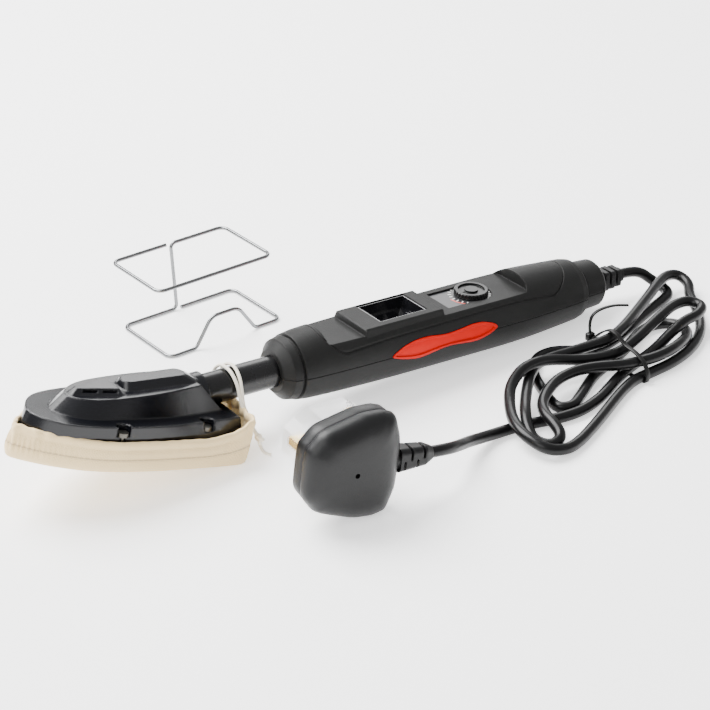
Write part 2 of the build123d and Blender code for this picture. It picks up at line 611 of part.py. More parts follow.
with BuildPart() as regulator:
    with BuildSketch(Plane.XY.offset(BOARD_Z + 0.05)):
        with Locations((DIAL_X, DIAL_Y)):
            Circle(REGULATOR_R)
    extrude(amount=REGULATOR_TOP - BOARD_Z)
    with BuildSketch(Plane.XY.offset(REGULATOR_TOP)):
        with Locations((DIAL_X, DIAL_Y)):
            Circle(4.6)
    extrude(amount=4.4)
    with BuildSketch(Plane.XY.offset(BOARD_Z + 2.5)):
        with Locations((DIAL_X, DIAL_Y)):
            Circle(SHAFT_R + FIT)
    extrude(amount=20.0, mode=Mode.SUBTRACT)

with BuildPart() as circuit_board:
    with BuildSketch(Plane.XY.offset(BOARD_Z - BOARD_T)):
        with Locations(((BOARD_FROM + BOARD_TO) / 2, 0)):
            RectangleRounded(BOARD_TO - BOARD_FROM, 2 * BOARD_HALF, 1.5)
        with Locations(*[(x, 0) for x in HANDLE_SCREWS_X[1:]]):
            Circle(SCREW_COLUMN_R + 0.4, mode=Mode.SUBTRACT)
    extrude(amount=BOARD_T)

with BuildPart() as board_parts:
    with BuildSketch(Plane.XY.offset(BOARD_Z + 0.02)):
        with Locations((106.0, 7.5)):
            Circle(4.0)
        with Locations((143.0, 6.5)):
            Rectangle(12.0, 7.0)
        with Locations((142.0, -6.0)):
            Rectangle(9.0, 4.6)
        with Locations((108.0, -6.0), (108.0, -9.0)):
            Rectangle(7.0, 2.2)
    extrude(amount=7.0)
    with BuildSketch(Plane.XY.offset(BOARD_Z + 3.0)):
        with Locations((108.0, -7.5)):
            Rectangle(9.0, 7.0)
    extrude(amount=6.0, mode=Mode.SUBTRACT)

# ---- fasteners of the handle -----------------------------------------------------------------
with BuildPart() as handle_screws:
    for x in HANDLE_SCREWS_X:
        with BuildSketch(Plane.XY.offset(HEAD_SEAT_Z - 0.02)):
            with Locations((x, 0)):
                Circle(HEAD_R)
        extrude(amount=-HEAD_H)
        with BuildSketch(Plane.XY.offset(HEAD_SEAT_Z - 0.02)):
            with Locations((x, 0)):
                Circle(SCREW_R)
        extrude(amount=8.0 - HEAD_SEAT_Z)
        with BuildSketch(Plane.XY.offset(HEAD_SEAT_Z - HEAD_H)):
            with Locations((x, 0)):
                Rectangle(3.6, 0.8)
                Rectangle(0.8, 3.6)
        extrude(amount=1.1, mode=Mode.SUBTRACT)

SADDLE_X = SADDLE_FROM + SADDLE_L / 2
with BuildPart() as cord_clamp:
    with BuildSketch(Plane.XY.offset(0.2)):
        with Locations((SADDLE_X, 0)):
            RectangleRounded(SADDLE_L - 1.0, 2 * SADDLE_HALF - 3.0, 1.0)
    extrude(amount=CORD_R + 1.8)
    with BuildSketch(Plane.YZ.offset(SADDLE_FROM - 1.0)):
        Circle(CORD_R + 0.05)
    extrude(amount=SADDLE_L + 2.0, mode=Mode.SUBTRACT)
    with BuildSketch(Plane.XY):
        with Locations((SADDLE_X, CLAMP_SCREW_Y), (SADDLE_X, -CLAMP_SCREW_Y)):
            Circle(1.0 + FIT)
    extrude(amount=10.0, mode=Mode.SUBTRACT)

with BuildPart() as clamp_screws:
    for y in (-CLAMP_SCREW_Y, CLAMP_SCREW_Y):
        with BuildSketch(Plane.XY.offset(-6.0)):
            with Locations((SADDLE_X, y)):
                Circle(1.0)
        extrude(amount=6.0 + CORD_R + 2.05)
        with BuildSketch(Plane.XY.offset(CORD_R + 2.03)):
            with Locations((SADDLE_X, y)):
                Circle(1.9)
        extrude(amount=1.4)

# ---- cord's end in the handle, and the ribbed strain relief -----------------------------------
RELIEF_END = HANDLE_L + RELIEF_L
TAIL_FROM = 170.0
with BuildPart() as cord_tail:
    with BuildSketch(Plane.YZ.offset(TAIL_FROM)):
        Circle(CORD_R)
    extrude(amount=RELIEF_END - TAIL_FROM)

RIBS = 4
RIB_T = 2.6
RIB_PITCH = (RELIEF_L - RIB_T) / (RIBS - 0.2)
with BuildPart() as strain_relief:
    with BuildSketch(Plane.YZ.offset(HANDLE_L - 6.6)):
        Circle(7.0)
    extrude(amount=1.5)
    with BuildSketch(Plane.YZ.offset(HANDLE_L - 5.1)):
        Circle(RELIEF_NECK_R)
    extrude(amount=5.6)
    with BuildSketch(Plane.YZ.offset(HANDLE_L + 0.3)):
        RectangleRounded(7.6, 7.6, 2.0)
    with BuildSketch(Plane.YZ.offset(RELIEF_END)):
        RectangleRounded(6.9, 6.9, 2.0)
    loft(ruled=True)
    for rib in range(RIBS):
        size = 11.4 - 0.55 * rib
        with BuildSketch(Plane.YZ.offset(HANDLE_L + 0.3 + RIB_PITCH * (rib + 0.1))):
            RectangleRounded(size, size, 1.6)
        extrude(amount=RIB_T)
    with BuildSketch(Plane.YZ.offset(HANDLE_L - 8.0)):
        Circle(CORD_R + 0.02)
    extrude(amount=RELIEF_L + 12.0, mode=Mode.SUBTRACT)


def corner_radii(points):
    """Radius of each corner: as large as its two straight runs allow."""
    steps = [Vector(*b) - Vector(*a) for a, b in zip(points, points[1:])]
    return [0.45 * min(first.length, second.length) / tan(radians(first.get_angle(second)) / 2)
            for first, second in zip(steps, steps[1:])]


def run_tube(points, radius, radii=None):
    """Round tube along straight runs joined by tangent arcs."""
    with BuildPart() as made:
        with BuildLine() as path:
            FilletPolyline(*points, radius=radii or corner_radii(points))
        with BuildSketch(Plane(origin=path.line @ 0, z_dir=path.line % 0)):
            Circle(radius)
        sweep()
    return made.part


LEAD_R = 0.9
with BuildPart() as heater_leads:
    for side in (-1, 1):
        add(run_tube([(95.5, side * 7.6, 1.6), (91.0, side * 7.6, 1.6), (84.0, side * 7.0, -2.5),
                      (48.0, side * 6.2, -2.5), (30.0, side * 4.6, -2.5), (-63.0, side * 4.6, -2.5),
                      (-74.0, side * 4.6, -7.0)], LEAD_R, [1.8, 2.4, 40.0, 40.0, 6.0]))

with BuildPart() as mains_leads:
    for side in (-1, 1):
        add(run_tube([(TAIL_FROM - 0.25, side * 1.3, 0.0), (166.5, side * 1.3, 0.4), (163.5, side * 5.6, 0.9),
                      (159.0, side * 6.7, 0.9)], LEAD_R, [1.6, 1.6]))

# ---- drawstring of the sock: a loop round the neck with a knotted tail -------------------------
STRING_R = 0.9
STRING_X = -28.5
with BuildPart() as drawstring:
    with BuildSketch(Plane.XZ):
        with Locations((STRING_X, TUBE_R + STRING_R + 0.1)):
            Circle(STRING_R)
    revolve(axis=Axis.X)
    add(run_tube([(STRING_X, -8.7, -2.2), (STRING_X + 6.5, -14.0, -9.8), (STRING_X + 4.4, -20.0, -17.9),
                  (STRING_X + 3.6, -23.4, -24.0)], STRING_R))
    with BuildSketch(Plane.XY.offset(-22.5)):
        with Locations((STRING_X + 4.0, -21.6)):
            Circle(1.8)
    extrude(amount=3.5)

# ---- bent-wire stand --------------------------------------------------------------------------
HALF_L, HALF_W = STAND_L / 2, STAND_W / 2
ARCH_HALF, ARCH_TOP_HALF, ARCH_H = 19.0, 8.5, 16.5
POST_X = -1.5
UPPER_SHIFT_X, UPPER_SHIFT_Y = -3.8, 1.0
wire_points = [
    (POST_X + 2.6, HALF_W, WIRE_R), (HALF_L, HALF_W, WIRE_R), (HALF_L, -HALF_W, WIRE_R),
    (ARCH_HALF, -HALF_W, WIRE_R), (ARCH_TOP_HALF, -HALF_W, ARCH_H), (-ARCH_TOP_HALF, -HALF_W, ARCH_H),
    (-ARCH_HALF, -HALF_W, WIRE_R), (-HALF_L, -HALF_W, WIRE_R), (-HALF_L, HALF_W, WIRE_R),
    (POST_X, HALF_W, WIRE_R), (POST_X - 1.0, HALF_W + UPPER_SHIFT_Y, STAND_H),
    (HALF_L + UPPER_SHIFT_X, HALF_W + UPPER_SHIFT_Y, STAND_H),
    (HALF_L + UPPER_SHIFT_X, -HALF_W + UPPER_SHIFT_Y, STAND_H),
    (-HALF_L + UPPER_SHIFT_X, -HALF_W + UPPER_SHIFT_Y, STAND_H),
    (-HALF_L + UPPER_SHIFT_X, HALF_W + UPPER_SHIFT_Y, STAND_H),
    (POST_X - 4.0, HALF_W + UPPER_SHIFT_Y, STAND_H)]
CORNER_R, BEND_R = 4.5, 3.0
wire_radii = [CORNER_R, CORNER_R, CORNER_R, 7.5, 7.5, CORNER_R, CORNER_R, CORNER_R, BEND_R, BEND_R,
              CORNER_R, CORNER_R, CORNER_R, CORNER_R]
with BuildPart() as stand_wire:
    add(run_tube(wire_points, WIRE_R, wire_radii))

# ---- plug: pins along +Y, cord out along +X, standing on its long side --------------------------
PIN_X = 11.6             # line and neutral pins, from the middle of the plug
EARTH_X = PIN_X - PIN_PITCH
PLUG_TAIL, PLUG_HEAD = 23.0, -24.5


def plug_line(grow):
    """Outline of the plug seen on its pins, wide at the cord and narrow at the earth pin."""
    near = [(PLUG_TAIL + grow, -13.0), (PLUG_TAIL - 7.5, -PLUG_HALF - grow), (2.0, -PLUG_HALF - grow),
            (PLUG_HEAD - grow + 4.0, -17.0), (PLUG_HEAD - grow, -11.0)]
    far = [(x, -z) for x, z in reversed(near)]
    FilletPolyline(*near, *far, radius=7.0, close=True)


def plug_slice(depth, grow):
    """One closed outline of the plug, behind its pin face by depth."""
    with BuildSketch(Plane.XZ.offset(depth)) as outline:
        with BuildLine():
            plug_line(grow)
        make_face()
    return outline.sketch


with BuildPart() as plug_body:
    loft([plug_slice(0.0, 0.0), plug_slice(9.0, 0.8)], ruled=True)
    loft([plug_slice(9.0, 0.8), plug_slice(PLUG_T - 5.0, -0.8)], ruled=True)
    loft([plug_slice(PLUG_T - 5.0, -0.8), plug_slice(PLUG_T, -5.5)], ruled=True)
    # pins' seats, fuse bay, and a small blind hole in the outer face
    with BuildSketch(Plane.XZ):
        with Locations((PIN_X, PIN_PITCH / 2), (PIN_X, -PIN_PITCH / 2)):
            Rectangle(4.1, 6.45)
        with Locations((EARTH_X, 0)):
            Rectangle(8.1, 4.1)
    extrude(amount=10.0, mode=Mode.SUBTRACT)
    with BuildSketch(Plane.XZ):
        with Locations((1.2, 0)):
            Rectangle(11.2, 27.2)
    extrude(amount=9.0, mode=Mode.SUBTRACT)
    with BuildSketch(Plane.XZ.offset(PLUG_T)):
        with Locations((-2.0, 0)):
            Circle(0.9)
    extrude(amount=-3.0, mode=Mode.SUBTRACT)
    with BuildSketch(Plane.YZ.offset(PLUG_TAIL - 6.0)):
        with Locations((-PLUG_T / 2, 0)):
            Circle(5.0)
    extrude(amount=10.0, mode=Mode.SUBTRACT)

with BuildPart() as plug_relief:
    with BuildSketch(Plane.YZ.offset(PLUG_TAIL - 5.9)):
        with Locations((-PLUG_T / 2, 0)):
            Circle(4.9)
    extrude(amount=7.0)
    with BuildSketch(Plane.YZ.offset(PLUG_TAIL + 1.0)):
        with Locations((-PLUG_T / 2, 0)):
            RectangleRounded(11.0, 12.0, 3.0)
    with BuildSketch(Plane.YZ.offset(PLUG_TAIL + 16.0)):
        with Locations((-PLUG_T / 2, 0)):
            RectangleRounded(9.0, 10.0, 3.0)
    loft(ruled=True)
    with BuildSketch(Plane.YZ.offset(PLUG_TAIL + 16.0)):
        with Locations((-PLUG_T / 2, 0)):
            RectangleRounded(9.0, 10.0, 3.0)
    with BuildSketch(Plane.YZ.offset(PLUG_TAIL + RELIEF_L)):
        with Locations((-PLUG_T / 2, 0)):
            RectangleRounded(6.6, 6.8, 3.0)
    loft(ruled=True)
    # staggered flex slots in the outer and inner faces
    for index in range(4):
        with BuildSketch(Plane.XZ.offset(PLUG_T / 2)):
            with Locations((PLUG_TAIL + 3.4 + 3.6 * index, 2.9 if index % 2 else -2.9)):
                RectangleRounded(1.5, 6.2, 0.7)
        extrude(amount=9.0, mode=Mode.SUBTRACT)
        with BuildSketch(Plane.XZ.offset(PLUG_T / 2)):
            with Locations((PLUG_TAIL + 3.4 + 3.6 * index, 2.9 if index % 2 else -2.9)):
                RectangleRounded(1.5, 6.2, 0.7)
        extrude(amount=-9.0, mode=Mode.SUBTRACT)
    with BuildSketch(Plane.YZ.offset(PLUG_TAIL - 6.0)):
        with Locations((-PLUG_T / 2, 0)):
            Circle(CORD_R)
    extrude(amount=RELIEF_L + 6.0)

SEAT_D = 9.9             # how deep a pin sits in the plug


def plug_pin(size_x, size_z, length, x, z):
    """Flat pin of the plug with a chamfered tip."""
    with BuildPart() as made:
        with BuildSketch(Plane.XZ.offset(SEAT_D)):
            with Locations((x, z)):
                Rectangle(size_x, size_z)
        extrude(amount=-SEAT_D - length)
        chamfer(faces().sort_by(Axis.Y)[-1].edges(), length=0.9)
    return made.part


with BuildPart() as earth_pin:
    add(plug_pin(8.0, 4.0, EARTH_L, EARTH_X, 0.0))
with BuildPart() as line_pin:
    add(plug_pin(4.0, 6.35, BLADE_L, PIN_X, -PIN_PITCH / 2))
with BuildPart() as neutral_pin:
    add(plug_pin(4.0, 6.35, BLADE_L, PIN_X, PIN_PITCH / 2))

FUSE_R, FUSE_L = 3.15, 25.4
CARRIER_X = 1.2
with BuildPart() as fuse_carrier:
    with BuildSketch(Plane.XZ.offset(-0.3)):
        with Locations((CARRIER_X, 0)):
            Rectangle(11.0, 27.0)
    extrude(amount=8.6)
    with BuildSketch(Plane.XZ.offset(1.2)):
        with Locations((CARRIER_X, 0)):
            Rectangle(2 * FUSE_R + 0.1, FUSE_L + 0.1)
    extrude(amount=9.0, mode=Mode.SUBTRACT)
    with BuildSketch(Plane.XZ.offset(-0.3)):
        with Locations((CARRIER_X, 0)):
            Rectangle(1.0, 9.0)
    extrude(amount=0.7, mode=Mode.SUBTRACT)

with BuildPart() as fuse:
    with BuildSketch(Plane.XY.offset(-FUSE_L / 2)):
        with Locations((CARRIER_X, -1.25 - FUSE_R)):
            Circle(FUSE_R)
    extrude(amount=FUSE_L)

GUARD_L, GUARD_T = 25.0, 1.0


def guard_line(inset):
    """Outline of the pin guard, narrow at the earth pin."""
    near = [(EARTH_X - 7.0 + inset, -6.5 + inset / 2), (-6.5 + inset / 2, -15.8 + inset),
            (PIN_X - 5.0, -17.5 + inset), (PIN_X + 5.0 - inset, -17.5 + inset)]
    Polygon(*near, *[(x, -z) for x, z in reversed(near)], align=None)
    fillet(vertices(), radius=3.0 - inset)


with BuildPart() as pin_guard:
    with BuildSketch(Plane.XZ.offset(-0.6)):
        guard_line(0.0)
    extrude(amount=-GUARD_L)
    with BuildSketch(Plane.XZ.offset(-0.5)):
        guard_line(GUARD_T)
    extrude(amount=-GUARD_L + GUARD_T, mode=Mode.SUBTRACT)

# ---- cord, outside the handle; points are from the object's origin ------------------------------
LEAD_POINTS = [(185.53, -53.71, 14.64), (194.51, -53.71, 14.09), (203.15, -57.91, 12.2), (209.05, -65.51, 9.4),
               (210.85, -73.01, 7.2)]
PLUG_CORD_POINTS = [(-18.5, -153.38, 22.27), (-8.64, -154.24, 20.88), (3.05, -147.71, 15.5), (14.05, -140.21, 10.0),
                    (26.05, -135.21, 5.6), (38.05, -133.01, 3.2), (48.95, -133.61, 3.0)]
HANK_LINE = [(52.6, -124.1), (65.5, -112.1), (83.5, -104.1), (101.5, -98.1), (121.5, -93.1), (139.9, -96.6),
             (157.5, -93.7), (177.5, -84.1), (195.5, -74.1), (209.5, -71.6), (219.9, -72.1), (221.9, -81.1),
             (210.9, -96.1), (196.5, -110.1), (179.5, -123.1), (161.5, -130.1), (142.5, -134.7), (127.0, -134.7),
             (115.5, -139.1), (102.5, -146.1), (86.5, -154.1), (69.5, -163.1), (56.6, -167.1), (48.6, -164.1),
             (45.6, -153.1), (46.4, -138.1)]
HANK_H, WAIST_H = 14.0, 17.5
TIE_X, TIE_Y, TIE_YAW = 131.0, -115.7, -13.0
TIE_W, TIE_T = 2.5, 1.1


with BuildPart() as cord_lead:
    add(run_tube(LEAD_POINTS, CORD_R))

with BuildPart() as cord_to_plug:
    add(run_tube(PLUG_CORD_POINTS, CORD_R))

TIE = Plane(origin=(TIE_X, TIE_Y, 0), x_dir=(-sin(radians(TIE_YAW)), cos(radians(TIE_YAW)), 0),
            z_dir=(cos(radians(TIE_YAW)), sin(radians(TIE_YAW)), 0))
BAND_Y, BAND_Z = 42.0, WAIST_H + 3.0


def tie_band(grow, width):
    """Band round the waist of the hank, its outer face grown by grow and its inner one shrunk."""
    with BuildPart() as made:
        with BuildSketch(TIE.offset(-width / 2)):
            with Locations((0, BAND_Z / 2 + 0.15)):
                RectangleRounded(BAND_Y + 2 * grow, BAND_Z + 2 * grow, 7.0)
                RectangleRounded(BAND_Y - 2 * TIE_T - 2 * grow, BAND_Z - 2 * TIE_T - 2 * grow, 6.0, mode=Mode.SUBTRACT)
        extrude(amount=width)
    return made.part


with BuildPart() as cord_hank:
    with BuildSketch(Plane.XY.offset(0.1)):
        with BuildLine():
            Spline(*HANK_LINE, periodic=True)
        make_face()
    extrude(amount=HANK_H)
    with BuildSketch(Plane.XY.offset(HANK_H)):
        with Locations(Location((TIE_X, TIE_Y, 0), (0, 0, TIE_YAW))):
            RectangleRounded(34.0, 30.0, 9.0)
    extrude(amount=WAIST_H - HANK_H)
    add(tie_band(0.15, TIE_W + 0.4), mode=Mode.SUBTRACT)
    # what lies outside the band's inner face, over the band's width, and round its head
    with BuildSketch(TIE.offset(-TIE_W / 2 - 0.2)):
        with Locations((0, BAND_Z / 2 + 0.15)):
            Rectangle(3 * BAND_Y, 3 * BAND_Z)
            RectangleRounded(BAND_Y - 2 * TIE_T - 0.3, BAND_Z - 2 * TIE_T - 0.3, 6.0, mode=Mode.SUBTRACT)
    extrude(amount=TIE_W + 0.4, mode=Mode.SUBTRACT)
    with BuildSketch(TIE.offset(-2.7)):
        with Locations((BAND_Y / 2 + 10.0, BAND_Z / 2)):
            Rectangle(24.0, BAND_Z + 10.0)
    extrude(amount=5.4, mode=Mode.SUBTRACT)

with BuildPart() as cable_tie:
    add(tie_band(0.0, TIE_W))
    with BuildSketch(TIE.offset(-2.4)):
        with Locations((BAND_Y / 2 + 0.6, BAND_Z - 5.0)):
            RectangleRounded(3.6, 5.2, 0.6)
    extrude(amount=4.8)
    with BuildSketch(TIE.offset(-TIE_W / 2)):
        with Locations(Location((BAND_Y / 2 + 1.0, BAND_Z + 3.0, 0), (0, 0, 8.0))):
            Rectangle(1.0, 12.0)
    extrude(amount=TIE_W)

# ---- names, places and files ---------------------------------------------------------------------
PIECES = {
    SHOE: {"sole_plate": sole_plate, "mica_sheets": mica_sheets, "heating_element": heating_element,
           "heater_clamp": heater_clamp, "thermal_fuse": thermal_fuse, "shoe_housing": shoe_housing,
           "shoe_screws": shoe_screws, "sock": sock},
    HANDLE: {"neck_tube": neck_tube, "neck_collar": neck_collar, "handle_upper": handle_upper,
             "handle_lower": handle_lower, "inlay_left": inlays[-1], "inlay_right": inlays[1],
             "display_tray": display_tray, "dial_plate": dial_plate, "thermostat_dial": thermostat_dial,
             "dial_shaft": dial_shaft, "regulator": regulator, "circuit_board": circuit_board,
             "board_parts": board_parts, "handle_screws": handle_screws, "cord_clamp": cord_clamp,
             "clamp_screws": clamp_screws, "cord_tail": cord_tail, "strain_relief": strain_relief,
             "heater_leads": heater_leads, "mains_leads": mains_leads, "drawstring": drawstring},
    STAND: {"stand_wire": stand_wire},
    PLUG: {"plug_body": plug_body, "plug_relief": plug_relief, "earth_pin": earth_pin, "line_pin": line_pin,
           "neutral_pin": neutral_pin, "fuse_carrier": fuse_carrier, "fuse": fuse, "pin_guard": pin_guard},
    Location(): {"cord_lead": cord_lead, "cord_hank": cord_hank, "cord_to_plug": cord_to_plug,
                 "cable_tie": cable_tie},
}

for place, group in PIECES.items():
    for name, made in group.items():
        made.part.locate(place)
        made.part.label = name
        export_step(made.part, f"parts/{name}.step")

for name, points, tube in (("cord_lead", LEAD_POINTS, cord_lead), ("cord_to_plug", PLUG_CORD_POINTS, cord_to_plug)):
    radii = corner_radii(points)
    run = sum((Vector(*b) - Vector(*a)).length for a, b in zip(points, points[1:]))
    print(name, "radii", [round(r, 1) for r in radii], "runs", round(run, 1),
          "length by volume", round(tube.part.volume / (pi * CORD_R ** 2), 1))
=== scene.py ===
"""Looks of a covering iron with a cloth sock, a corded plug and a bent-wire stand.

Metres, +Z up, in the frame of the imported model. Each sub-assembly is a class that builds its own
meshes as numpy surfaces and dresses them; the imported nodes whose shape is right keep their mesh
and only get a finish.
"""

from __future__ import annotations

import json
import logging
from dataclasses import dataclass
from enum import Enum
from math import cos, pi, radians, sin
from typing import Any, Sequence

import bmesh
import bpy
import numpy as np
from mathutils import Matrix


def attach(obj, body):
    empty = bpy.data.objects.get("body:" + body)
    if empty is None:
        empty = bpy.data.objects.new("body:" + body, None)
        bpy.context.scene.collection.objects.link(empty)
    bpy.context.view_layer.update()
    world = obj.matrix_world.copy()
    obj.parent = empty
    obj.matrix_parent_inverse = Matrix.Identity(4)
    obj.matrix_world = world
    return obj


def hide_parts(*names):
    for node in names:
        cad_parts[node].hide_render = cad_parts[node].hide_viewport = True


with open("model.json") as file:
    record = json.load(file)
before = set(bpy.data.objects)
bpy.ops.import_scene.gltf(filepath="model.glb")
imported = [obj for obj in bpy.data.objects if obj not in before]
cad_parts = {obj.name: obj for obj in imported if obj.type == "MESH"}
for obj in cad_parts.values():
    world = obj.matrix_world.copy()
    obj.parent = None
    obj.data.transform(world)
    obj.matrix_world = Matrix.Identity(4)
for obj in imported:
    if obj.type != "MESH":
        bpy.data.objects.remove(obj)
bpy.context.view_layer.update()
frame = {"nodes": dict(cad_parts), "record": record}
LOG = logging.getLogger("covering_iron")

Points = tuple[tuple[float, ...], ...]

MM = 0.001
MIDDLE = (74.45, 53.71)                     # heel of the shoe to the middle of the row, mm
MIDDLE_SHIFT = np.array([-MIDDLE[0], -MIDDLE[1], 0.0])
SHOE_TILT, HANDLE_TILT = 16.0, 3.5          # degrees, nose up and rear down
HANDLE_START = (33.4, 0.0, 28.5)            # front of the handle from the heel, mm
PLUG_FACE = (14.4, -86.0, 28.25)            # middle of the pin face from the heel, mm
PLUG_TILT, PLUG_YAW = 8.0, -5.0             # degrees
CURVE_STEPS = 60                            # samples a span when a curve is measured


# ---- frames and arrays ---------------------------------------------------------------------
@dataclass(frozen=True)
class Place:
    """A frame in which a sub-assembly's faces are square.

    Attributes:
        origin: its origin in the row frame, mm.
        tilt: turn about Y, degrees; positive lowers +X.
        yaw: turn about Z after it, degrees.
    """

    origin: tuple[float, float, float]
    tilt: float = 0.0
    yaw: float = 0.0

    def row(self, points: np.ndarray) -> np.ndarray:
        """Turns points about Y by the tilt and moves them to the origin.

        Args:
            points: array whose last axis is x, y, z in mm.

        Returns:
            The same points in the row frame, in metres.
        """
        c, s = cos(radians(self.tilt)), sin(radians(self.tilt))
        x, y, z = points[..., 0], points[..., 1], points[..., 2]
        x, z = x * c + z * s, z * c - x * s
        c, s = cos(radians(self.yaw)), sin(radians(self.yaw))
        return (np.stack([x * c - y * s, x * s + y * c, z], axis=-1) + np.array(self.origin)) * MM


SHOE = Place((-MIDDLE[0], -MIDDLE[1], 0.0), SHOE_TILT)
HANDLE = Place((HANDLE_START[0] - MIDDLE[0], -MIDDLE[1], HANDLE_START[2]), HANDLE_TILT)
PLUG = Place((PLUG_FACE[0] - MIDDLE[0], PLUG_FACE[1] - MIDDLE[1], PLUG_FACE[2]),
             PLUG_TILT, PLUG_YAW)


def through(points: Sequence[Sequence[float]], count: int, closed: bool = False) -> np.ndarray:
    """Catmull-Rom curve through points, at even steps of its own length.

    Between p1 and p2 it is half of 2 p1 + (p2 - p0) f + (2 p0 - 5 p1 + 4 p2 - p3) f^2
    + (3 p1 - p0 - 3 p2 + p3) f^3.

    Args:
        points: the points passed through.
        count: number of points returned.
        closed: whether the curve returns to its start.

    Returns:
        Array of count rows; a closed curve's first point isn't repeated.
    """
    given = np.asarray(points, float)
    if closed:
        padded = np.vstack([given[-1:], given, given[:2]])
    else:
        padded = np.vstack([2 * given[:1] - given[1:2], given, 2 * given[-1:] - given[-2:-1]])
    spans = len(padded) - 3
    t = np.linspace(0.0, spans, spans * CURVE_STEPS + 1)
    i = np.minimum(t.astype(int), spans - 1)
    f = (t - i)[:, None]
    p0, p1, p2, p3 = (padded[i + k] for k in range(4))
    line = 0.5 * (2 * p1 + (p2 - p0) * f + (2 * p0 - 5 * p1 + 4 * p2 - p3) * f**2
                  + (3 * p1 - p0 - 3 * p2 + p3) * f**3)
    reach = np.concatenate([[0.0], np.cumsum(np.linalg.norm(np.diff(line, axis=0), axis=1))])
    if closed:
        at = np.linspace(0.0, reach[-1], count + 1)[:-1]
    else:
        at = np.linspace(0.0, reach[-1], count)
    return np.stack([np.interp(at, reach, line[:, k]) for k in range(line.shape[1])], axis=-1)


def grid_object(
    name: str,
    points: np.ndarray,
    around: bool = False,
    along: bool = False,
    caps: tuple[bool, bool] | bool = False,
    uv: np.ndarray | None = None,
) -> bpy.types.Object:
    """Object whose mesh is a grid of quads over an array of points.

    Args:
        name: piece's name.
        points: rows by columns by 3, in metres in the row frame.
        around: joins the last column to the first.
        along: joins the last row to the first.
        caps: closes the first and last row with a face each, both or one of them.
        uv: rows by columns by 2, one value a point.

    Returns:
        The new object, linked to the scene.
    """
    rows, cols = points.shape[:2]
    number = np.arange(rows * cols).reshape(rows, cols)
    below = number if along else number[:-1]
    above = np.roll(number, -1, axis=0) if along else number[1:]
    if around:
        left, right = (below, above), (np.roll(below, -1, axis=1), np.roll(above, -1, axis=1))
    else:
        left, right = (below[:, :-1], above[:, :-1]), (below[:, 1:], above[:, 1:])
    quads = np.stack([left[0], right[0], right[1], left[1]], axis=-1).reshape(-1, 4).tolist()
    first, last = caps if isinstance(caps, tuple) else (caps, caps)
    quads += [number[0, ::-1].tolist()] * first + [number[-1].tolist()] * last
    mesh = bpy.data.meshes.new(name)
    mesh.from_pydata(points.reshape(-1, 3).tolist(), [], quads)
    if uv is not None:
        layer = mesh.uv_layers.new(name="cloth")
        corner = np.empty(len(mesh.loops), dtype=np.int32)
        mesh.loops.foreach_get("vertex_index", corner)
        layer.data.foreach_set("uv", uv.reshape(-1, 2)[corner].ravel().astype(np.float32))
    mesh.polygons.foreach_set("use_smooth", np.full(len(mesh.polygons), True))
    mesh.update()
    piece = bpy.data.objects.new(name, mesh)
    bpy.context.scene.collection.objects.link(piece)
    return piece


def carried(line: np.ndarray, section: np.ndarray, closed: bool = False) -> np.ndarray:
    """Carries a flat profile along a line without twisting it.

    At each point the profile's two axes are perpendicular to the line; each is the last one less
    its part along the new direction.

    Args:
        line: n by 3 points.
        section: m by 2 profile, or n by m by 2 where it changes along the line.
        closed: whether the line returns to its start.

    Returns:
        n by m by 3 points.
    """
    if closed:
        along = np.roll(line, -1, axis=0) - np.roll(line, 1, axis=0)
    else:
        along = np.gradient(line, axis=0)
    along /= np.linalg.norm(along, axis=1, keepdims=True)
    side = np.cross(along[0], (0.0, 0.0, 1.0))
    if np.linalg.norm(side) < 0.1:
        side = np.cross(along[0], (1.0, 0.0, 0.0))
    sides = []
    for direction in along:
        side = side - direction * (side @ direction)
        side /= np.linalg.norm(side)
        sides.append(side)
    across = np.array(sides)
    up = np.cross(across, along)
    profile = np.broadcast_to(section, (len(line),) + section.shape[-2:])
    return line[:, None] + across[:, None] * profile[..., :1] + up[:, None] * profile[..., 1:]


def ring(radius: float, count: int = 16) -> np.ndarray:
    """Circle of a radius as count points in the plane."""
    turn = np.linspace(0.0, 2 * pi, count, endpoint=False)
    return radius * np.stack([np.cos(turn), np.sin(turn)], axis=-1)


# ---- shader graph --------------------------------------------------------------------------
class Wire:
    """An output socket that takes part in Python expressions."""

    def __init__(self, graph: Graph, socket: bpy.types.NodeSocket) -> None:
        """Keeps the socket and the graph that it is in."""
        self.graph, self.socket = graph, socket

    def _math(self, operation: str, other: Any = None, flip: bool = False) -> Wire:
        """Adds one Math node on this value and another."""
        pair = [self] if other is None else ([other, self] if flip else [self, other])
        return self.graph.add("ShaderNodeMath", {"operation": operation}, dict(enumerate(pair)))

    def __add__(self, other: Any) -> Wire:
        """This plus other."""
        return self._math("ADD", other)

    def __sub__(self, other: Any) -> Wire:
        """This less other."""
        return self._math("SUBTRACT", other)

    def __rsub__(self, other: Any) -> Wire:
        """Other less this."""
        return self._math("SUBTRACT", other, True)

    def __mul__(self, other: Any) -> Wire:
        """This times other."""
        return self._math("MULTIPLY", other)

    def __lt__(self, other: Any) -> Wire:
        """One where this is less than other."""
        return self._math("LESS_THAN", other)

    def __gt__(self, other: Any) -> Wire:
        """One where this is more than other."""
        return self._math("GREATER_THAN", other)

    def __abs__(self) -> Wire:
        """Size of this value."""
        return self._math("ABSOLUTE")

    def wave(self) -> Wire:
        """Sine of this value."""
        return self._math("SINE")

    def part(self, period: float) -> Wire:
        """What is left of this value after whole periods."""
        return self._math("FLOORED_MODULO", period)

    def power(self, exponent: float) -> Wire:
        """This value to a power."""
        return self._math("POWER", exponent)


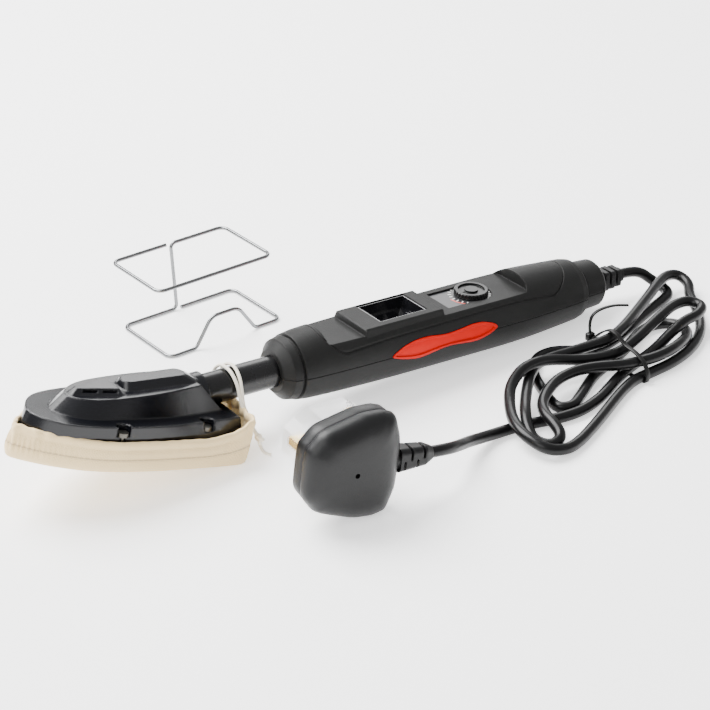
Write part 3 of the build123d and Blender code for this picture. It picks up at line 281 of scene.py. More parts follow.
class Graph:
    """One material's node tree, ending in a Principled shader."""

    def __init__(self, name: str) -> None:
        """Makes a tree with its shader and output.

        Args:
            name: the material's name.
        """
        self.material = bpy.data.materials.new(name)
        self.material.use_nodes = True
        self.tree = self.material.node_tree
        self.tree.nodes.clear()
        self.shader = self.tree.nodes.new("ShaderNodeBsdfPrincipled")
        output = self.tree.nodes.new("ShaderNodeOutputMaterial")
        self.tree.links.new(self.shader.outputs[0], output.inputs["Surface"])

    def add(self, kind: str, settings: dict[str, Any], values: dict[Any, Any],
            output: Any = 0) -> Wire:
        """Adds a node.

        Args:
            kind: node type.
            settings: attributes set first; "stops" are a ramp's (place, colour) pairs.
            values: input sockets by name or number, each a number, colour or Wire.
            output: the output socket wanted.

        Returns:
            That output as a Wire.
        """
        node = self.tree.nodes.new(kind)
        for key, value in settings.items():
            if key == "stops":
                elements = node.color_ramp.elements
                while len(elements) < len(value):
                    elements.new(0.5)
                for element, (place, colour) in zip(elements, value):
                    element.position, element.color = place, (*colour, 1.0)
            else:
                setattr(node, key, value)
        self.feed(node, values)
        return Wire(self, node.outputs[output])

    def feed(self, node: bpy.types.Node, values: dict[Any, Any]) -> None:
        """Sets or links a node's inputs.

        Args:
            node: the node.
            values: a number, colour or Wire for each input, by its name or number.
        """
        for key, value in values.items():
            if isinstance(value, Wire):
                self.tree.links.new(value.socket, node.inputs[key])
            else:
                node.inputs[key].default_value = value

    def finish(self, **values: Any) -> bpy.types.Material:
        """Sets the shader's inputs, with spaces as underscores, and returns the material."""
        self.feed(self.shader, {key.replace("_", " "): value for key, value in values.items()})
        return self.material

    def place(self) -> Wire:
        """Object coordinates, in metres."""
        return self.add("ShaderNodeTexCoord", {}, {}, "Object")

    def split(self, vector: Wire) -> list[Wire]:
        """The three parts of a vector."""
        node = self.add("ShaderNodeSeparateXYZ", {}, {0: vector}).socket.node
        return [Wire(self, socket) for socket in node.outputs]

    def noise(self, vector: Wire, scale: float, detail: float = 3.0, rough: float = 0.5) -> Wire:
        """Noise from 0 to 1 at a scale per metre."""
        values = {"Vector": vector, "Scale": scale, "Detail": detail, "Roughness": rough}
        return self.add("ShaderNodeTexNoise", {}, values, "Fac")

    def mix(self, factor: Any, first: Any, second: Any) -> Wire:
        """Mixes two colours."""
        return self.add("ShaderNodeMix", {"data_type": "RGBA"}, {0: factor, 6: first, 7: second}, 2)

    def bump(self, height: Wire, depth: float, under: Wire | None = None) -> Wire:
        """Adds a Bump node.

        Args:
            height: height from 0 to 1.
            depth: what a height of 1 stands for, metres.
            under: normal that the bumps lie on.

        Returns:
            The bumped normal.
        """
        values: dict[Any, Any] = {"Height": height, "Distance": depth, "Strength": 1.0}
        if under is not None:
            values["Normal"] = under
        return self.add("ShaderNodeBump", {}, values, "Normal")


def rgba(colour: Sequence[float]) -> tuple[float, float, float, float]:
    """A colour with full alpha."""
    return (colour[0], colour[1], colour[2], 1.0)


@dataclass(frozen=True)
class Plastic:
    """Moulded plastic with a fine grain, softened edges and slight unevenness.

    Attributes:
        colour: base colour.
        roughness: mean roughness.
        grain: bumps per metre.
        depth: height of the grain, metres.
        coat: weight of a clear gloss over it.
        edge: radius that edges look rounded to, metres.
        mottle: how much the colour varies.
        specular: strength of the plain gloss.
    """

    colour: tuple[float, float, float]
    roughness: float = 0.4
    grain: float = 2600.0
    depth: float = 0.00003
    coat: float = 0.0
    edge: float = 0.0004
    mottle: float = 0.25
    specular: float = 0.5

    def make(self, name: str) -> bpy.types.Material:
        """Makes the material.

        Args:
            name: its name.

        Returns:
            The material.
        """
        graph = Graph(name)
        spot = graph.place()
        cloud = graph.noise(spot, 60.0, 4.0)
        grain = graph.noise(spot, self.grain, 2.0)
        rounded = graph.add("ShaderNodeBevel", {"samples": 4}, {"Radius": self.edge})
        dark = tuple(c * (1 - self.mottle) for c in self.colour)
        light = tuple(min(1.0, c * (1 + self.mottle)) for c in self.colour)
        return graph.finish(
            Base_Color=graph.mix(cloud, rgba(dark), rgba(light)),
            Roughness=cloud * 0.12 + (self.roughness - 0.06),
            Coat_Weight=self.coat, Coat_Roughness=0.06, Specular_IOR_Level=self.specular,
            Normal=graph.bump(grain, self.depth, rounded))


@dataclass(frozen=True)
class Metal:
    """Bare metal with fine marks.

    Attributes:
        colour: reflected colour.
        roughness: mean roughness.
        marks: marks per metre.
        depth: their depth, metres.
    """

    colour: tuple[float, float, float]
    roughness: float = 0.2
    marks: float = 900.0
    depth: float = 0.00001

    def make(self, name: str) -> bpy.types.Material:
        """Makes the material.

        Args:
            name: its name.

        Returns:
            The material.
        """
        graph = Graph(name)
        spot = graph.place()
        haze = graph.noise(spot, self.marks, 3.0)
        return graph.finish(
            Base_Color=graph.mix(haze, rgba([c * 0.92 for c in self.colour]), rgba(self.colour)),
            Metallic=1.0, Roughness=haze * 0.08 + (self.roughness - 0.04),
            Normal=graph.bump(haze, self.depth))


@dataclass(frozen=True)
class Weave:
    """Plain-woven cotton on the piece's own UV map, in millimetres of cloth.

    Attributes:
        colour: mean colour.
        pitch: threads' spacing, mm.
        seam: height of a stitched seam line on the cloth, mm.
        stitch: colour of its thread.
    """

    colour: tuple[float, float, float]
    pitch: float = 0.75
    # seam: height of a stitched seam line on the cloth, with painted shade along its groove, mm.
    seam: float = -1.0
    stitch: tuple[float, float, float] = (0.52, 0.36, 0.2)

    def make(self, name: str) -> bpy.types.Material:
        """Makes the material.

        Args:
            name: its name.

        Returns:
            The material.
        """
        graph = Graph(name)
        cloth = graph.add("ShaderNodeUVMap", {"uv_map": "cloth"}, {})
        across, up, _ = graph.split(cloth)
        wander = graph.noise(cloth, 0.35, 3.0) * 1.4
        warp = ((across + wander) * (2 * pi / self.pitch)).wave()
        weft = ((up + wander) * (2 * pi / self.pitch)).wave()
        cell = ((across * (pi / self.pitch)).wave() * (up * (pi / self.pitch)).wave()) > 0.0
        thread = cell * warp + (1.0 - cell) * weft
        drawn_out = graph.add("ShaderNodeMapping", {}, {"Vector": cloth, "Scale": (0.25, 3.0, 1.0)})
        slub = graph.noise(drawn_out, 1.2, 4.0)
        blotch = graph.noise(graph.place(), 45.0, 4.0)
        base = graph.mix(blotch, rgba([c * 0.86 for c in self.colour]), rgba(self.colour))
        base = graph.mix((thread * 0.5 + 0.5) * 0.32, base, rgba([c * 0.62 for c in self.colour]))
        height = thread * 0.35 + slub * 0.7
        if self.seam > 0:
            off = abs(up - self.seam)
            run = (off < 0.3) * (across.part(2.9) < 2.6)
            # Painted shade: the cloth is darkened in a band 0.8 mm either side of the seam, where
            # the bump below sinks a groove.
            base = graph.mix((off < 0.8) * 0.25, base, rgba([c * 0.6 for c in self.colour]))
            base = graph.mix(run * 0.8, base, rgba(self.stitch))
            height = height + run * 0.8 - (off < 0.9) * 0.8
        return graph.finish(Base_Color=base, Roughness=slub * 0.15 + 0.8, Sheen_Weight=0.35,
                            Sheen_Roughness=0.5, Specular_IOR_Level=0.2,
                            Normal=graph.bump(height, 0.00018))


@dataclass(frozen=True)
class Clear:
    """Translucent moulded plastic.

    Attributes:
        colour: tint.
        roughness: frosting.
        bending: refractive index.
        alpha: how much of it is there.
    """

    colour: tuple[float, float, float]
    roughness: float = 0.25
    bending: float = 1.15
    alpha: float = 0.35

    def make(self, name: str) -> bpy.types.Material:
        """Makes the material.

        Args:
            name: its name.

        Returns:
            The material.
        """
        graph = Graph(name)
        haze = graph.noise(graph.place(), 400.0, 3.0)
        return graph.finish(Base_Color=rgba(self.colour), Transmission_Weight=1.0, IOR=self.bending,
                            Alpha=self.alpha, Roughness=haze * 0.1 + self.roughness,
                            Normal=graph.bump(haze, 0.00002))


@dataclass(frozen=True)
class DialFace:
    """Dark plate with light tick marks printed round the dial and one coloured arc.

    Attributes:
        centre: the dial's centre in the handle's frame, mm.
        inner, outer: radii between which the ticks run, mm.
        ticks: number of ticks in a full turn.
        tick_width: their width, radians.
        arc_gap, arc_edge: the arc's two radii beyond the ticks, mm.
        arc_end: angle at which the arc ends, radians.
    """

    centre: tuple[float, float] = (124.0, 1.0)
    inner: float = 9.9
    outer: float = 11.6
    ticks: int = 24
    tick_width: float = 0.055
    arc_gap: float = 0.3
    arc_edge: float = 1.2
    arc_end: float = -2.2

    def make(self, name: str) -> bpy.types.Material:
        """Makes the material.

        Args:
            name: its name.

        Returns:
            The material.
        """
        graph = Graph(name)
        origin = HANDLE.row(np.array([self.centre[0], self.centre[1], 0.0]))
        back = graph.add("ShaderNodeVectorMath", {"operation": "SUBTRACT"},
                         {0: graph.place(), 1: tuple(origin)})
        x, y, _ = graph.split(back)
        x, y = x * 1000.0, y * 1000.0
        reach = (x * x + y * y).power(0.5)
        turn = graph.add("ShaderNodeMath", {"operation": "ARCTAN2"}, {0: y, 1: x})
        band = (reach > self.inner) * (reach < self.outer)
        ticks = band * ((turn + pi).part(2 * pi / self.ticks) < self.tick_width)
        arc = ((reach > self.outer + self.arc_gap) * (reach < self.outer + self.arc_edge)
               * (turn < self.arc_end))
        grain = graph.noise(graph.place(), 2500.0, 2.0)
        base = graph.mix(ticks * 0.85, rgba((0.02, 0.02, 0.022)), rgba((0.75, 0.75, 0.72)))
        base = graph.mix(arc * 0.9, base, rgba((0.55, 0.05, 0.03)))
        return graph.finish(Base_Color=base, Roughness=grain * 0.1 + 0.3,
                            Normal=graph.bump(grain, 0.00001))


class Finishes(Enum):
    """Finish of each material slot in the record."""

    sock_cotton = Weave((1.0, 0.76, 0.4), pitch=0.75, seam=7.4)
    string_cotton = Plastic((0.9, 0.84, 0.72), roughness=0.85, grain=1500.0, depth=0.0002,
                            mottle=0.05, specular=0.2)
    sole_aluminium = Metal((0.8, 0.8, 0.8), roughness=0.35)
    housing_gloss = Plastic((0.0022, 0.0025, 0.004), roughness=0.2, grain=900.0, depth=0.000004,
                            edge=0.0014, specular=0.38)
    neck_black = Plastic((0.003, 0.003, 0.0034), roughness=0.26, grain=1800.0, depth=0.00001,
                         specular=0.4)
    collar_steel = Metal((0.55, 0.55, 0.56), roughness=0.3)
    handle_matte = Plastic((0.0062, 0.0062, 0.006), roughness=0.52, grain=2300.0, depth=0.00008,
                           edge=0.0007, specular=0.22)
    inlay_orange = Plastic((0.62, 0.004, 0.0008), roughness=0.45, grain=1500.0, depth=0.00002,
                           edge=0.0005, mottle=0.08, specular=0.12)
    well_gloss = Plastic((0.006, 0.006, 0.0075), roughness=0.12, grain=900.0, depth=0.000004,
                         coat=0.5)
    plate_black = DialFace()
    dial_black = Plastic((0.005, 0.005, 0.005), roughness=0.34, grain=1500.0, depth=0.00002,
                         edge=0.0003, specular=0.35)
    shaft_steel = Metal((0.6, 0.6, 0.6), roughness=0.3)
    regulator_body = Plastic((0.3, 0.29, 0.27), roughness=0.5)
    board_green = Plastic((0.02, 0.12, 0.05), roughness=0.35)
    board_parts = Plastic((0.1, 0.1, 0.1), roughness=0.45)
    screw_brass = Metal((0.09, 0.085, 0.075), roughness=0.3)
    screw_steel = Metal((0.42, 0.42, 0.43), roughness=0.35)
    mica = Plastic((0.6, 0.52, 0.35), roughness=0.3)
    ribbon = Metal((0.5, 0.42, 0.36), roughness=0.4)
    clamp_steel = Metal((0.5, 0.5, 0.5), roughness=0.4)
    thermal_fuse = Metal((0.7, 0.7, 0.65), roughness=0.3)
    lead_rubber = Plastic((0.001, 0.001, 0.001), roughness=0.9, specular=0.0)
    relief_black = Plastic((0.0045, 0.0045, 0.0048), roughness=0.42, grain=2200.0, edge=0.0005,
                           specular=0.25)
    cord_black = Plastic((0.003, 0.003, 0.0032), roughness=0.3, grain=500.0, depth=0.00004,
                         edge=0.0002, specular=0.22)
    tie_black = Plastic((0.004, 0.004, 0.004), grain=2000.0, depth=0.00001, edge=0.0002,
                        specular=0.25)
    stand_chrome = Metal((0.2, 0.205, 0.21), roughness=0.18)
    plug_black = Plastic((0.0048, 0.0049, 0.0053), grain=2000.0, depth=0.0001, edge=0.0009,
                         specular=0.28)
    pin_brass = Metal((0.8, 0.62, 0.3), roughness=0.25)
    pin_sleeved = Metal((0.8, 0.62, 0.3), roughness=0.25)
    carrier_black = Plastic((0.02, 0.02, 0.02))
    fuse_ceramic = Plastic((0.8, 0.78, 0.72), roughness=0.3)
    guard_clear = Clear((0.97, 0.97, 0.97), roughness=0.08)

    def material(self) -> bpy.types.Material:
        """This finish's material, made the first time."""
        name = f"finish_{self.name}"
        return bpy.data.materials.get(name) or self.value.make(name)


def dress(piece: bpy.types.Object, finish: Finishes, body: str) -> bpy.types.Object:
    """Gives a new piece its material, slot and body.

    Args:
        piece: the piece, already in place.
        finish: its finish, named for the record's slot.
        body: the body it moves with.

    Returns:
        The piece.
    """
    piece.data.materials.clear()
    piece.data.materials.append(finish.material())
    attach(piece, body)
    LOG.info("%s: %s on %s", piece.name, finish.name, body)
    return piece


def solid(piece: bpy.types.Object, thickness: float) -> None:
    """Gives a sheet its thickness in metres, inwards."""
    wall = piece.modifiers.new("wall", "SOLIDIFY")
    wall.thickness, wall.offset = thickness, -1.0


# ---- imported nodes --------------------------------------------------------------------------
@dataclass
class PackedNodes:
    """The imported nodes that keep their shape."""

    def dress(self) -> None:
        """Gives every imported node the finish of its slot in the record."""
        slots = {part["node"]: part["material_slot"] for part in frame["record"]["subparts"]}
        for name, piece in frame["nodes"].items():
            finish = Finishes[slots[name]]
            if not piece.material_slots:
                piece.data.materials.append(None)
            for place in piece.material_slots:
                place.material = finish.material()
            LOG.info("%s: %s", name, finish.name)


# ---- sock ----------------------------------------------------------------------------------
@dataclass
class Sock:
    """Cotton cover drawn over the sole, open above and gathered at nose and heel.

    Shoe frame, mm, except for the floor gap and the flat size, which are metres. The flat size is
    not used.
    """

    half: float = 28.3
    length: float = 116.2
    heel: float = 1.2
    side_z: float = 14.4
    nose_z: float = 15.6
    heel_z: float = 23.0
    thickness: float = 0.8
    flat: tuple[float, float] = (0.118, 0.165)
    middle: tuple[float, float] = (-50.0, 0.0)
    nose_start: float = 78.0
    nose_reach: float = 38.0
    heel_reach: float = 16.0
    drawn_in: float = 2.6
    pleat: float = 0.55
    floor_gap: float = 0.0009
    around: int = 560
    body: str = "root"

    def outline(self) -> np.ndarray:
        """Closed line round the sock: straight heel, widest a quarter forward, rounded nose."""
        half, span = self.half, self.length + self.heel
        near = [(self.heel, -0.2 * half), (self.heel, -0.62 * half),
                (self.heel - 0.5, -0.86 * half), (self.heel - 4.0, -0.96 * half),
                (self.heel - 0.14 * span, -0.995 * half), (self.heel - 0.28 * span, -half),
                (self.heel - 0.5 * span, -0.975 * half), (self.heel - 0.71 * span, -0.84 * half),
                (self.heel - 0.86 * span, -0.56 * half), (self.heel - 0.955 * span, -0.27 * half),
                (-self.length + 0.7, -0.1 * half)]
        far = [(x, -y) for x, y in reversed(near)]
        return through(near + [(-self.length - 0.2, 0.0)] + far, self.around, closed=True)

    def rim(self, x: np.ndarray) -> np.ndarray:
        """Gives the height of the hem: level along the sides, higher at the nose and the heel.

        Args:
            x: places along the shoe, mm.

        Returns:
            The height at each, mm.
        """
        stations = [-117.0, -100.0, -75.0, -25.0, -12.0, -3.0, 2.0]
        heights = [self.nose_z, self.nose_z - 0.6, self.side_z, self.side_z + 0.3,
                   self.side_z + 2.2, self.heel_z - 2.0, self.heel_z]
        return np.interp(x, stations, heights)

    def rings(self) -> list[tuple[float, ...]]:
        """Lists the rings from under the sole to the inside of the hem.

        Returns:
            For each, its share of the way out, offset outward in mm, share of the hem's height,
            height added in mm, and share of the folds.
        """
        under = [(share, 0.0, 0.0, 0.05, 0.0) for share in (0.02, 0.2, 0.4, 0.6, 0.78, 0.9)]
        side = [(-1.6, 0.0, 0.08, 0.02), (-0.5, 0.0, 0.32, 0.05), (0.1, 0.0, 1.1, 0.08),
                (0.5, 0.12, 0.8, 0.12), (0.7, 0.3, 0.0, 0.2), (0.75, 0.42, 0.0, 0.25),
                (0.62, 0.52, 0.0, 0.3), (0.75, 0.6, 0.0, 0.38), (0.7, 0.7, 0.0, 0.5),
                (0.35, 0.78, 0.0, 0.62), (0.3, 0.83, 0.0, 0.7), (0.7, 0.9, 0.0, 0.8),
                (0.8, 0.97, 0.2, 0.85), (0.35, 1.0, 0.9, 0.85), (-0.45, 1.0, 1.25, 0.8),
                (-1.1, 1.0, 0.8, 0.6), (-1.3, 1.0, -0.3, 0.4), (-1.2, 0.9, -1.0, 0.3)]
        return under + [(1.0, *numbers) for numbers in side]

    def build(self) -> bpy.types.Object:
        """Builds the cover.

        Rings of the outline run from a point under the sole, out to its edge, up the side and over
        the rolled hem. A ring is the outline moved out by an offset along its normal, raised to a
        share of the hem's height there. Folds are sines of the turn round the outline, pleats at
        the nose a sine of the length round it, and the heel's bag a bell curve across and up.

        Returns:
            The cover.
        """
        line = self.outline()
        ahead = np.roll(line, -1, axis=0) - np.roll(line, 1, axis=0)
        ahead /= np.linalg.norm(ahead, axis=1, keepdims=True)
        normal = np.stack([-ahead[:, 1], ahead[:, 0]], axis=-1)
        centre = np.array(self.middle)
        if np.mean(np.sum(normal * (line - centre), axis=1)) < 0:
            normal = -normal
        step = np.linalg.norm(np.roll(line, -1, axis=0) - line, axis=1)
        run = np.concatenate([[0.0], np.cumsum(step)[:-1]])
        total = float(step.sum())
        x, y = line[:, 0], line[:, 1]
        rim = self.rim(x)
        to_nose = np.clip((-x - self.nose_start) / self.nose_reach, 0.0, 1.0) ** 1.5
        to_heel = np.clip((x + self.heel_reach) / self.heel_reach, 0.0, 1.0)
        pucker = 0.25 + 0.85 * to_nose + 0.9 * to_heel
        turn = run * (2 * pi / total)
        folds = (np.sin(34 * turn + 1.3 * np.sin(5 * turn)) + 0.6 * np.sin(57 * turn + 2.0)
                 + 0.5 * np.sin(21 * turn + 0.7))
        sway = 0.5 * np.sin(7 * turn + 0.4) + 0.35 * np.sin(13 * turn + 1.9)
        layers, sheet = [], []
        fallen = 0.0
        for share, out, lift, add, fold in self.rings():
            drawn_in = self.drawn_in * to_nose * max(0.0, lift - 0.25) ** 1.2
            outward = out + fold * pucker * folds * 0.42 + fold * sway * 0.5 - drawn_in
            ring_xy = centre + (line - centre) * share + normal * outward[:, None]
            height = rim * lift + add
            heel_bag = to_heel * np.exp(-(y / 13.0) ** 2) * np.exp(-((height - 19.0) / 5.5) ** 2)
            bag = [5.5 * heel_bag * (1 + 0.25 * folds), -0.12 * y * heel_bag]
            ring_xy = ring_xy + np.stack(bag, axis=-1)
            pleats = np.exp(-((lift - 0.5) / 0.22) ** 2) * to_nose * (lift > 0.0)
            ripple = np.sin(run * 2.6 + 0.5 * np.sin(run * 0.9))
            ring_xy = ring_xy + normal * (self.pleat * pleats * ripple)[:, None]
            height = height + fold * pucker * 0.3 * np.sin(41 * turn + 1.0) * (lift > 0.5)
            layers.append(np.column_stack([ring_xy, np.maximum(height, 0.03)]))
            if sheet:
                fallen += float(np.mean(np.linalg.norm(layers[-1] - layers[-2], axis=1)))
            sheet.append(np.column_stack([run * max(share, 0.02), np.full(self.around, fallen)]))
        placed = SHOE.row(np.array(layers))
        placed[..., 2] = np.maximum(placed[..., 2], self.floor_gap)
        piece = grid_object("sock_cloth", placed, around=True, caps=(True, False),
                            uv=self.cloth_map(np.array(layers), np.array(sheet), rim))
        if piece.data.polygons[-1].normal.z > 0:
            piece.data.flip_normals()
        solid(piece, self.thickness * MM)
        return piece

    def cloth_map(self, points: np.ndarray, sheet: np.ndarray, rim: np.ndarray) -> np.ndarray:
        """Place on the cloth: x and y under the sole, and the run and the height on the side.

        Args:
            points: the rings in the shoe's frame, mm.
            sheet: the run round the outline and the way fallen from the middle, mm.
            rim: the hem's height at each point round, mm.

        Returns:
            Two values a point, in mm of cloth.
        """
        mean_rim, aside, side_start = 16.0, 60.0, 28.0
        side = np.stack([sheet[..., 0], points[..., 2] * mean_rim / rim], axis=-1)
        below = points[..., :2] - aside
        return np.where((sheet[..., 1] < side_start)[..., None], below, side)

    def dress(self) -> None:
        piece = self.build()
        dress(piece, Finishes.sock_cotton, self.body)
        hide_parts("sock")


# ---- cords ---------------------------------------------------------------------------------
@dataclass
class Lead:
    """The mains lead: out of the strain relief, round the tied hank and on to the plug.

    Row frame, mm. Each route is a stretch of the one line, in order.
    """

    radius: float = 2.9
    body: str = "root"
    out: Points = (
        (185.53, -53.71, 14.64), (192.0, -53.75, 14.2), (199.5, -55.5, 12.5), (204.8, -58.4, 7.4),
        (208.4, -64.0, 4.2), (207.0, -71.0, 3.1), (198.5, -74.6, 3.0), (188.0, -78.0, 3.0),
        (175.0, -83.0, 3.0), (161.0, -88.5, 3.0), (147.0, -94.0, 3.0), (134.0, -96.3, 3.0))
    small_loop: Points = (
        (123.0, -90.5, 3.0), (113.5, -83.6, 3.0), (103.0, -84.2, 3.0), (94.5, -91.0, 3.0),
        (88.0, -101.0, 3.0), (83.5, -112.0, 3.0), (79.6, -122.0, 3.0), (77.6, -131.6, 3.0),
        (84.6, -134.6, 3.0), (92.5, -130.0, 3.0), (100.5, -125.0, 3.0), (112.0, -117.5, 3.0),
        (123.5, -113.0, 3.0), (134.5, -109.3, 3.0))
    inner_bight: Points = (
        (146.0, -104.6, 3.0), (156.5, -98.6, 3.0), (166.0, -94.3, 3.0), (176.0, -93.0, 3.2),
        (183.3, -98.6, 4.0), (183.8, -107.5, 5.4), (177.4, -118.0, 6.8), (163.0, -126.0, 9.2),
        (148.0, -129.4, 9.3), (134.0, -127.9, 9.3))
    left_fold: Points = (
        (123.5, -124.6, 9.3), (112.5, -118.8, 9.5), (101.0, -115.8, 9.5), (88.0, -117.7, 9.5),
        (76.0, -124.2, 9.5), (66.5, -132.0, 9.5), (61.4, -140.5, 9.4), (60.2, -149.0, 8.6),
        (58.6, -157.6, 6.0), (51.0, -159.6, 4.0), (46.0, -151.8, 4.4), (48.6, -143.0, 7.2),
        (54.4, -134.0, 9.8), (61.5, -125.2, 9.4), (70.5, -115.5, 9.3), (80.0, -106.0, 9.3),
        (90.0, -98.8, 9.4), (100.0, -97.6, 9.6), (111.0, -100.8, 10.6), (122.0, -104.2, 12.6),
        (132.0, -107.5, 14.6))
    far_bight: Points = (
        (146.0, -101.6, 14.2), (161.0, -92.8, 13.2), (181.9, -80.2, 12.0), (199.0, -69.6, 11.2),
        (211.0, -63.6, 10.4), (219.0, -64.8, 9.0), (219.0, -73.4, 6.8), (213.0, -80.2, 4.8),
        (209.4, -88.0, 3.6), (202.0, -100.3, 3.2), (190.9, -113.6, 3.0), (174.4, -124.6, 3.0),
        (156.2, -130.2, 3.0), (140.0, -131.6, 3.0), (128.4, -132.2, 3.0))
    outer_fold: Points = (
        (120.0, -135.0, 3.0), (108.5, -140.5, 3.0), (92.5, -149.3, 3.0), (76.0, -157.8, 3.0),
        (64.0, -163.2, 3.0), (54.0, -166.0, 3.8), (44.4, -163.6, 6.0), (41.2, -154.0, 8.2),
        (41.8, -144.5, 9.3), (46.2, -133.8, 9.3), (53.6, -122.6, 9.6), (62.0, -112.4, 12.0),
        (74.0, -106.4, 15.2), (86.0, -105.0, 15.4), (98.0, -105.4, 12.6), (109.0, -108.4, 10.0),
        (120.5, -112.4, 9.3), (133.0, -114.4, 9.3))
    tight_bight: Points = (
        (148.0, -111.0, 11.6), (161.9, -106.8, 14.0), (174.0, -102.6, 15.2), (184.6, -99.2, 15.2),
        (194.4, -99.4, 14.6), (197.2, -107.6, 13.6), (188.4, -112.6, 13.2), (178.0, -113.4, 13.2),
        (167.0, -114.4, 9.0), (157.0, -115.8, 4.8), (146.0, -118.0, 3.2), (135.0, -120.8, 3.0))
    to_plug: Points = (
        (121.5, -126.0, 3.0), (110.0, -132.0, 3.0), (98.6, -137.2, 3.0), (84.6, -140.8, 3.0),
        (71.4, -139.6, 3.0), (60.0, -136.2, 3.0), (48.95, -133.61, 3.0), (38.05, -133.01, 3.2),
        (26.05, -135.21, 5.6), (14.05, -140.21, 10.0), (3.05, -147.71, 15.5),
        (-8.64, -154.24, 20.88), (-18.5, -153.38, 22.27))

    def route(self) -> np.ndarray:
        """All the points that the lead is drawn by, in metres."""
        parts = (self.out, self.small_loop, self.inner_bight, self.left_fold, self.far_bight,
                 self.outer_fold, self.tight_bight, self.to_plug)
        return np.array([point for part in parts for point in part]) * MM

    def build(self) -> bpy.types.Object:
        """Builds the lead as one NURBS curve with a round bevel."""
        return nurbs_cord("mains_lead", self.route(), self.radius * MM)

    def dress(self) -> None:
        piece = self.build()
        length = line_length(read_line(piece))
        dress(piece, Finishes.cord_black, self.body)
        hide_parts("cord_lead", "cord_hank", "cord_to_plug")
        LOG.info("lead %.3f m", length)


def nurbs_cord(name: str, points: np.ndarray, radius: float) -> bpy.types.Object:
    """Round cord on one open NURBS spline.

    Args:
        name: piece's name.
        points: control points, metres.
        radius: the cord's radius, metres.

    Returns:
        The curve object.
    """
    curve = bpy.data.curves.new(name, "CURVE")
    curve.dimensions = "3D"
    curve.bevel_depth, curve.bevel_resolution, curve.resolution_u = radius, 5, 8
    curve.use_fill_caps = True
    spline = curve.splines.new("NURBS")
    spline.points.add(len(points) - 1)
    spline.points.foreach_set("co", np.column_stack([points, np.ones(len(points))]).ravel())
    spline.order_u = 3
    spline.use_endpoint_u = True
    piece = bpy.data.objects.new(name, curve)
    bpy.context.scene.collection.objects.link(piece)
    return piece


def read_line(piece: bpy.types.Object) -> np.ndarray:
    """Reads the line that a cord's spline draws.

    Args:
        piece: the cord's curve object.

    Returns:
        Points along it, metres.
    """
    plain = piece.copy()
    plain.data = piece.data.copy()
    plain.data.bevel_depth = 0.0
    bpy.context.scene.collection.objects.link(plain)
    bpy.context.view_layer.update()
    evaluated = plain.evaluated_get(bpy.context.evaluated_depsgraph_get())
    mesh = bpy.data.meshes.new_from_object(evaluated)
    line = np.empty(len(mesh.vertices) * 3)
    mesh.vertices.foreach_get("co", line)
    bpy.data.meshes.remove(mesh)
    bpy.data.objects.remove(plain)
    return line.reshape(-1, 3)


def line_length(line: np.ndarray) -> float:
    """Length of a line of points."""
    return float(np.linalg.norm(np.diff(line, axis=0), axis=1).sum())


@dataclass
class Drawstring:
    """White cotton string: two turns over the neck tube, knotted beside it. Heel frame, mm."""

    radius: float = 0.85
    knot_at: tuple[float, float, float] = (11.2, -22.2, 8.2)
    knot_size: float = 0.75
    knot_radius: float = 0.8
    body: str = "root"
    loop: Points = (
        (5.0, 9.0, 23.0), (5.5, 10.6, 28.0), (6.4, 9.6, 34.5), (7.0, 5.0, 38.9), (7.2, 0.0, 39.7),
        (7.4, -5.2, 38.6), (7.8, -9.6, 33.4), (8.0, -10.6, 27.5), (8.0, -13.6, 21.0),
        (9.2, -17.4, 15.4), (10.4, -20.2, 11.4), (11.4, -22.6, 8.0))
    tail: Points = (
        (9.0, 8.4, 24.0), (9.6, 10.2, 29.0), (10.6, 8.8, 35.4), (11.4, 3.6, 39.0),
        (11.4, -2.4, 38.9), (10.6, -7.6, 35.4), (9.4, -10.8, 29.6), (9.0, -12.4, 22.6),
        (9.8, -15.4, 16.4), (10.6, -18.6, 11.6), (11.2, -21.4, 7.4), (11.0, -23.6, 3.6),
        (11.8, -26.0, 1.4), (14.0, -28.0, 1.2))

    def build(self) -> list[bpy.types.Object]:
        """Builds the two turns and the knot.

        The knot is a trefoil: sin t + 2 sin 2t, cos t - 2 cos 2t and -sin 3t, turned to stand up.

        Returns:
            The loop, the tail and the knot.
        """
        loop, tail = (
            nurbs_cord(name, (np.array(points) + MIDDLE_SHIFT) * MM, self.radius * MM)
            for name, points in (("drawstring_loop", self.loop), ("drawstring_tail", self.tail)))
        turn = np.linspace(0.0, 2 * pi, 73)[:-1]
        knot = np.stack([np.sin(turn) + 2 * np.sin(2 * turn), np.cos(turn) - 2 * np.cos(2 * turn),
                         -np.sin(3 * turn) * 1.2], axis=-1) * self.knot_size
        knot = knot[:, [2, 0, 1]] + np.array(self.knot_at) + MIDDLE_SHIFT
        tube = carried(knot * MM, ring(self.knot_radius * MM, 10), closed=True)
        return [loop, tail, grid_object("drawstring_knot", tube, around=True, along=True)]

    def dress(self) -> None:
        loop, tail, knot = self.build()
        for piece in (loop, tail, knot):
            dress(piece, Finishes.string_cotton, self.body)
        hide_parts("drawstring")
        for piece, others in ((loop, [knot]), (tail, [])):
            line = read_line(piece)


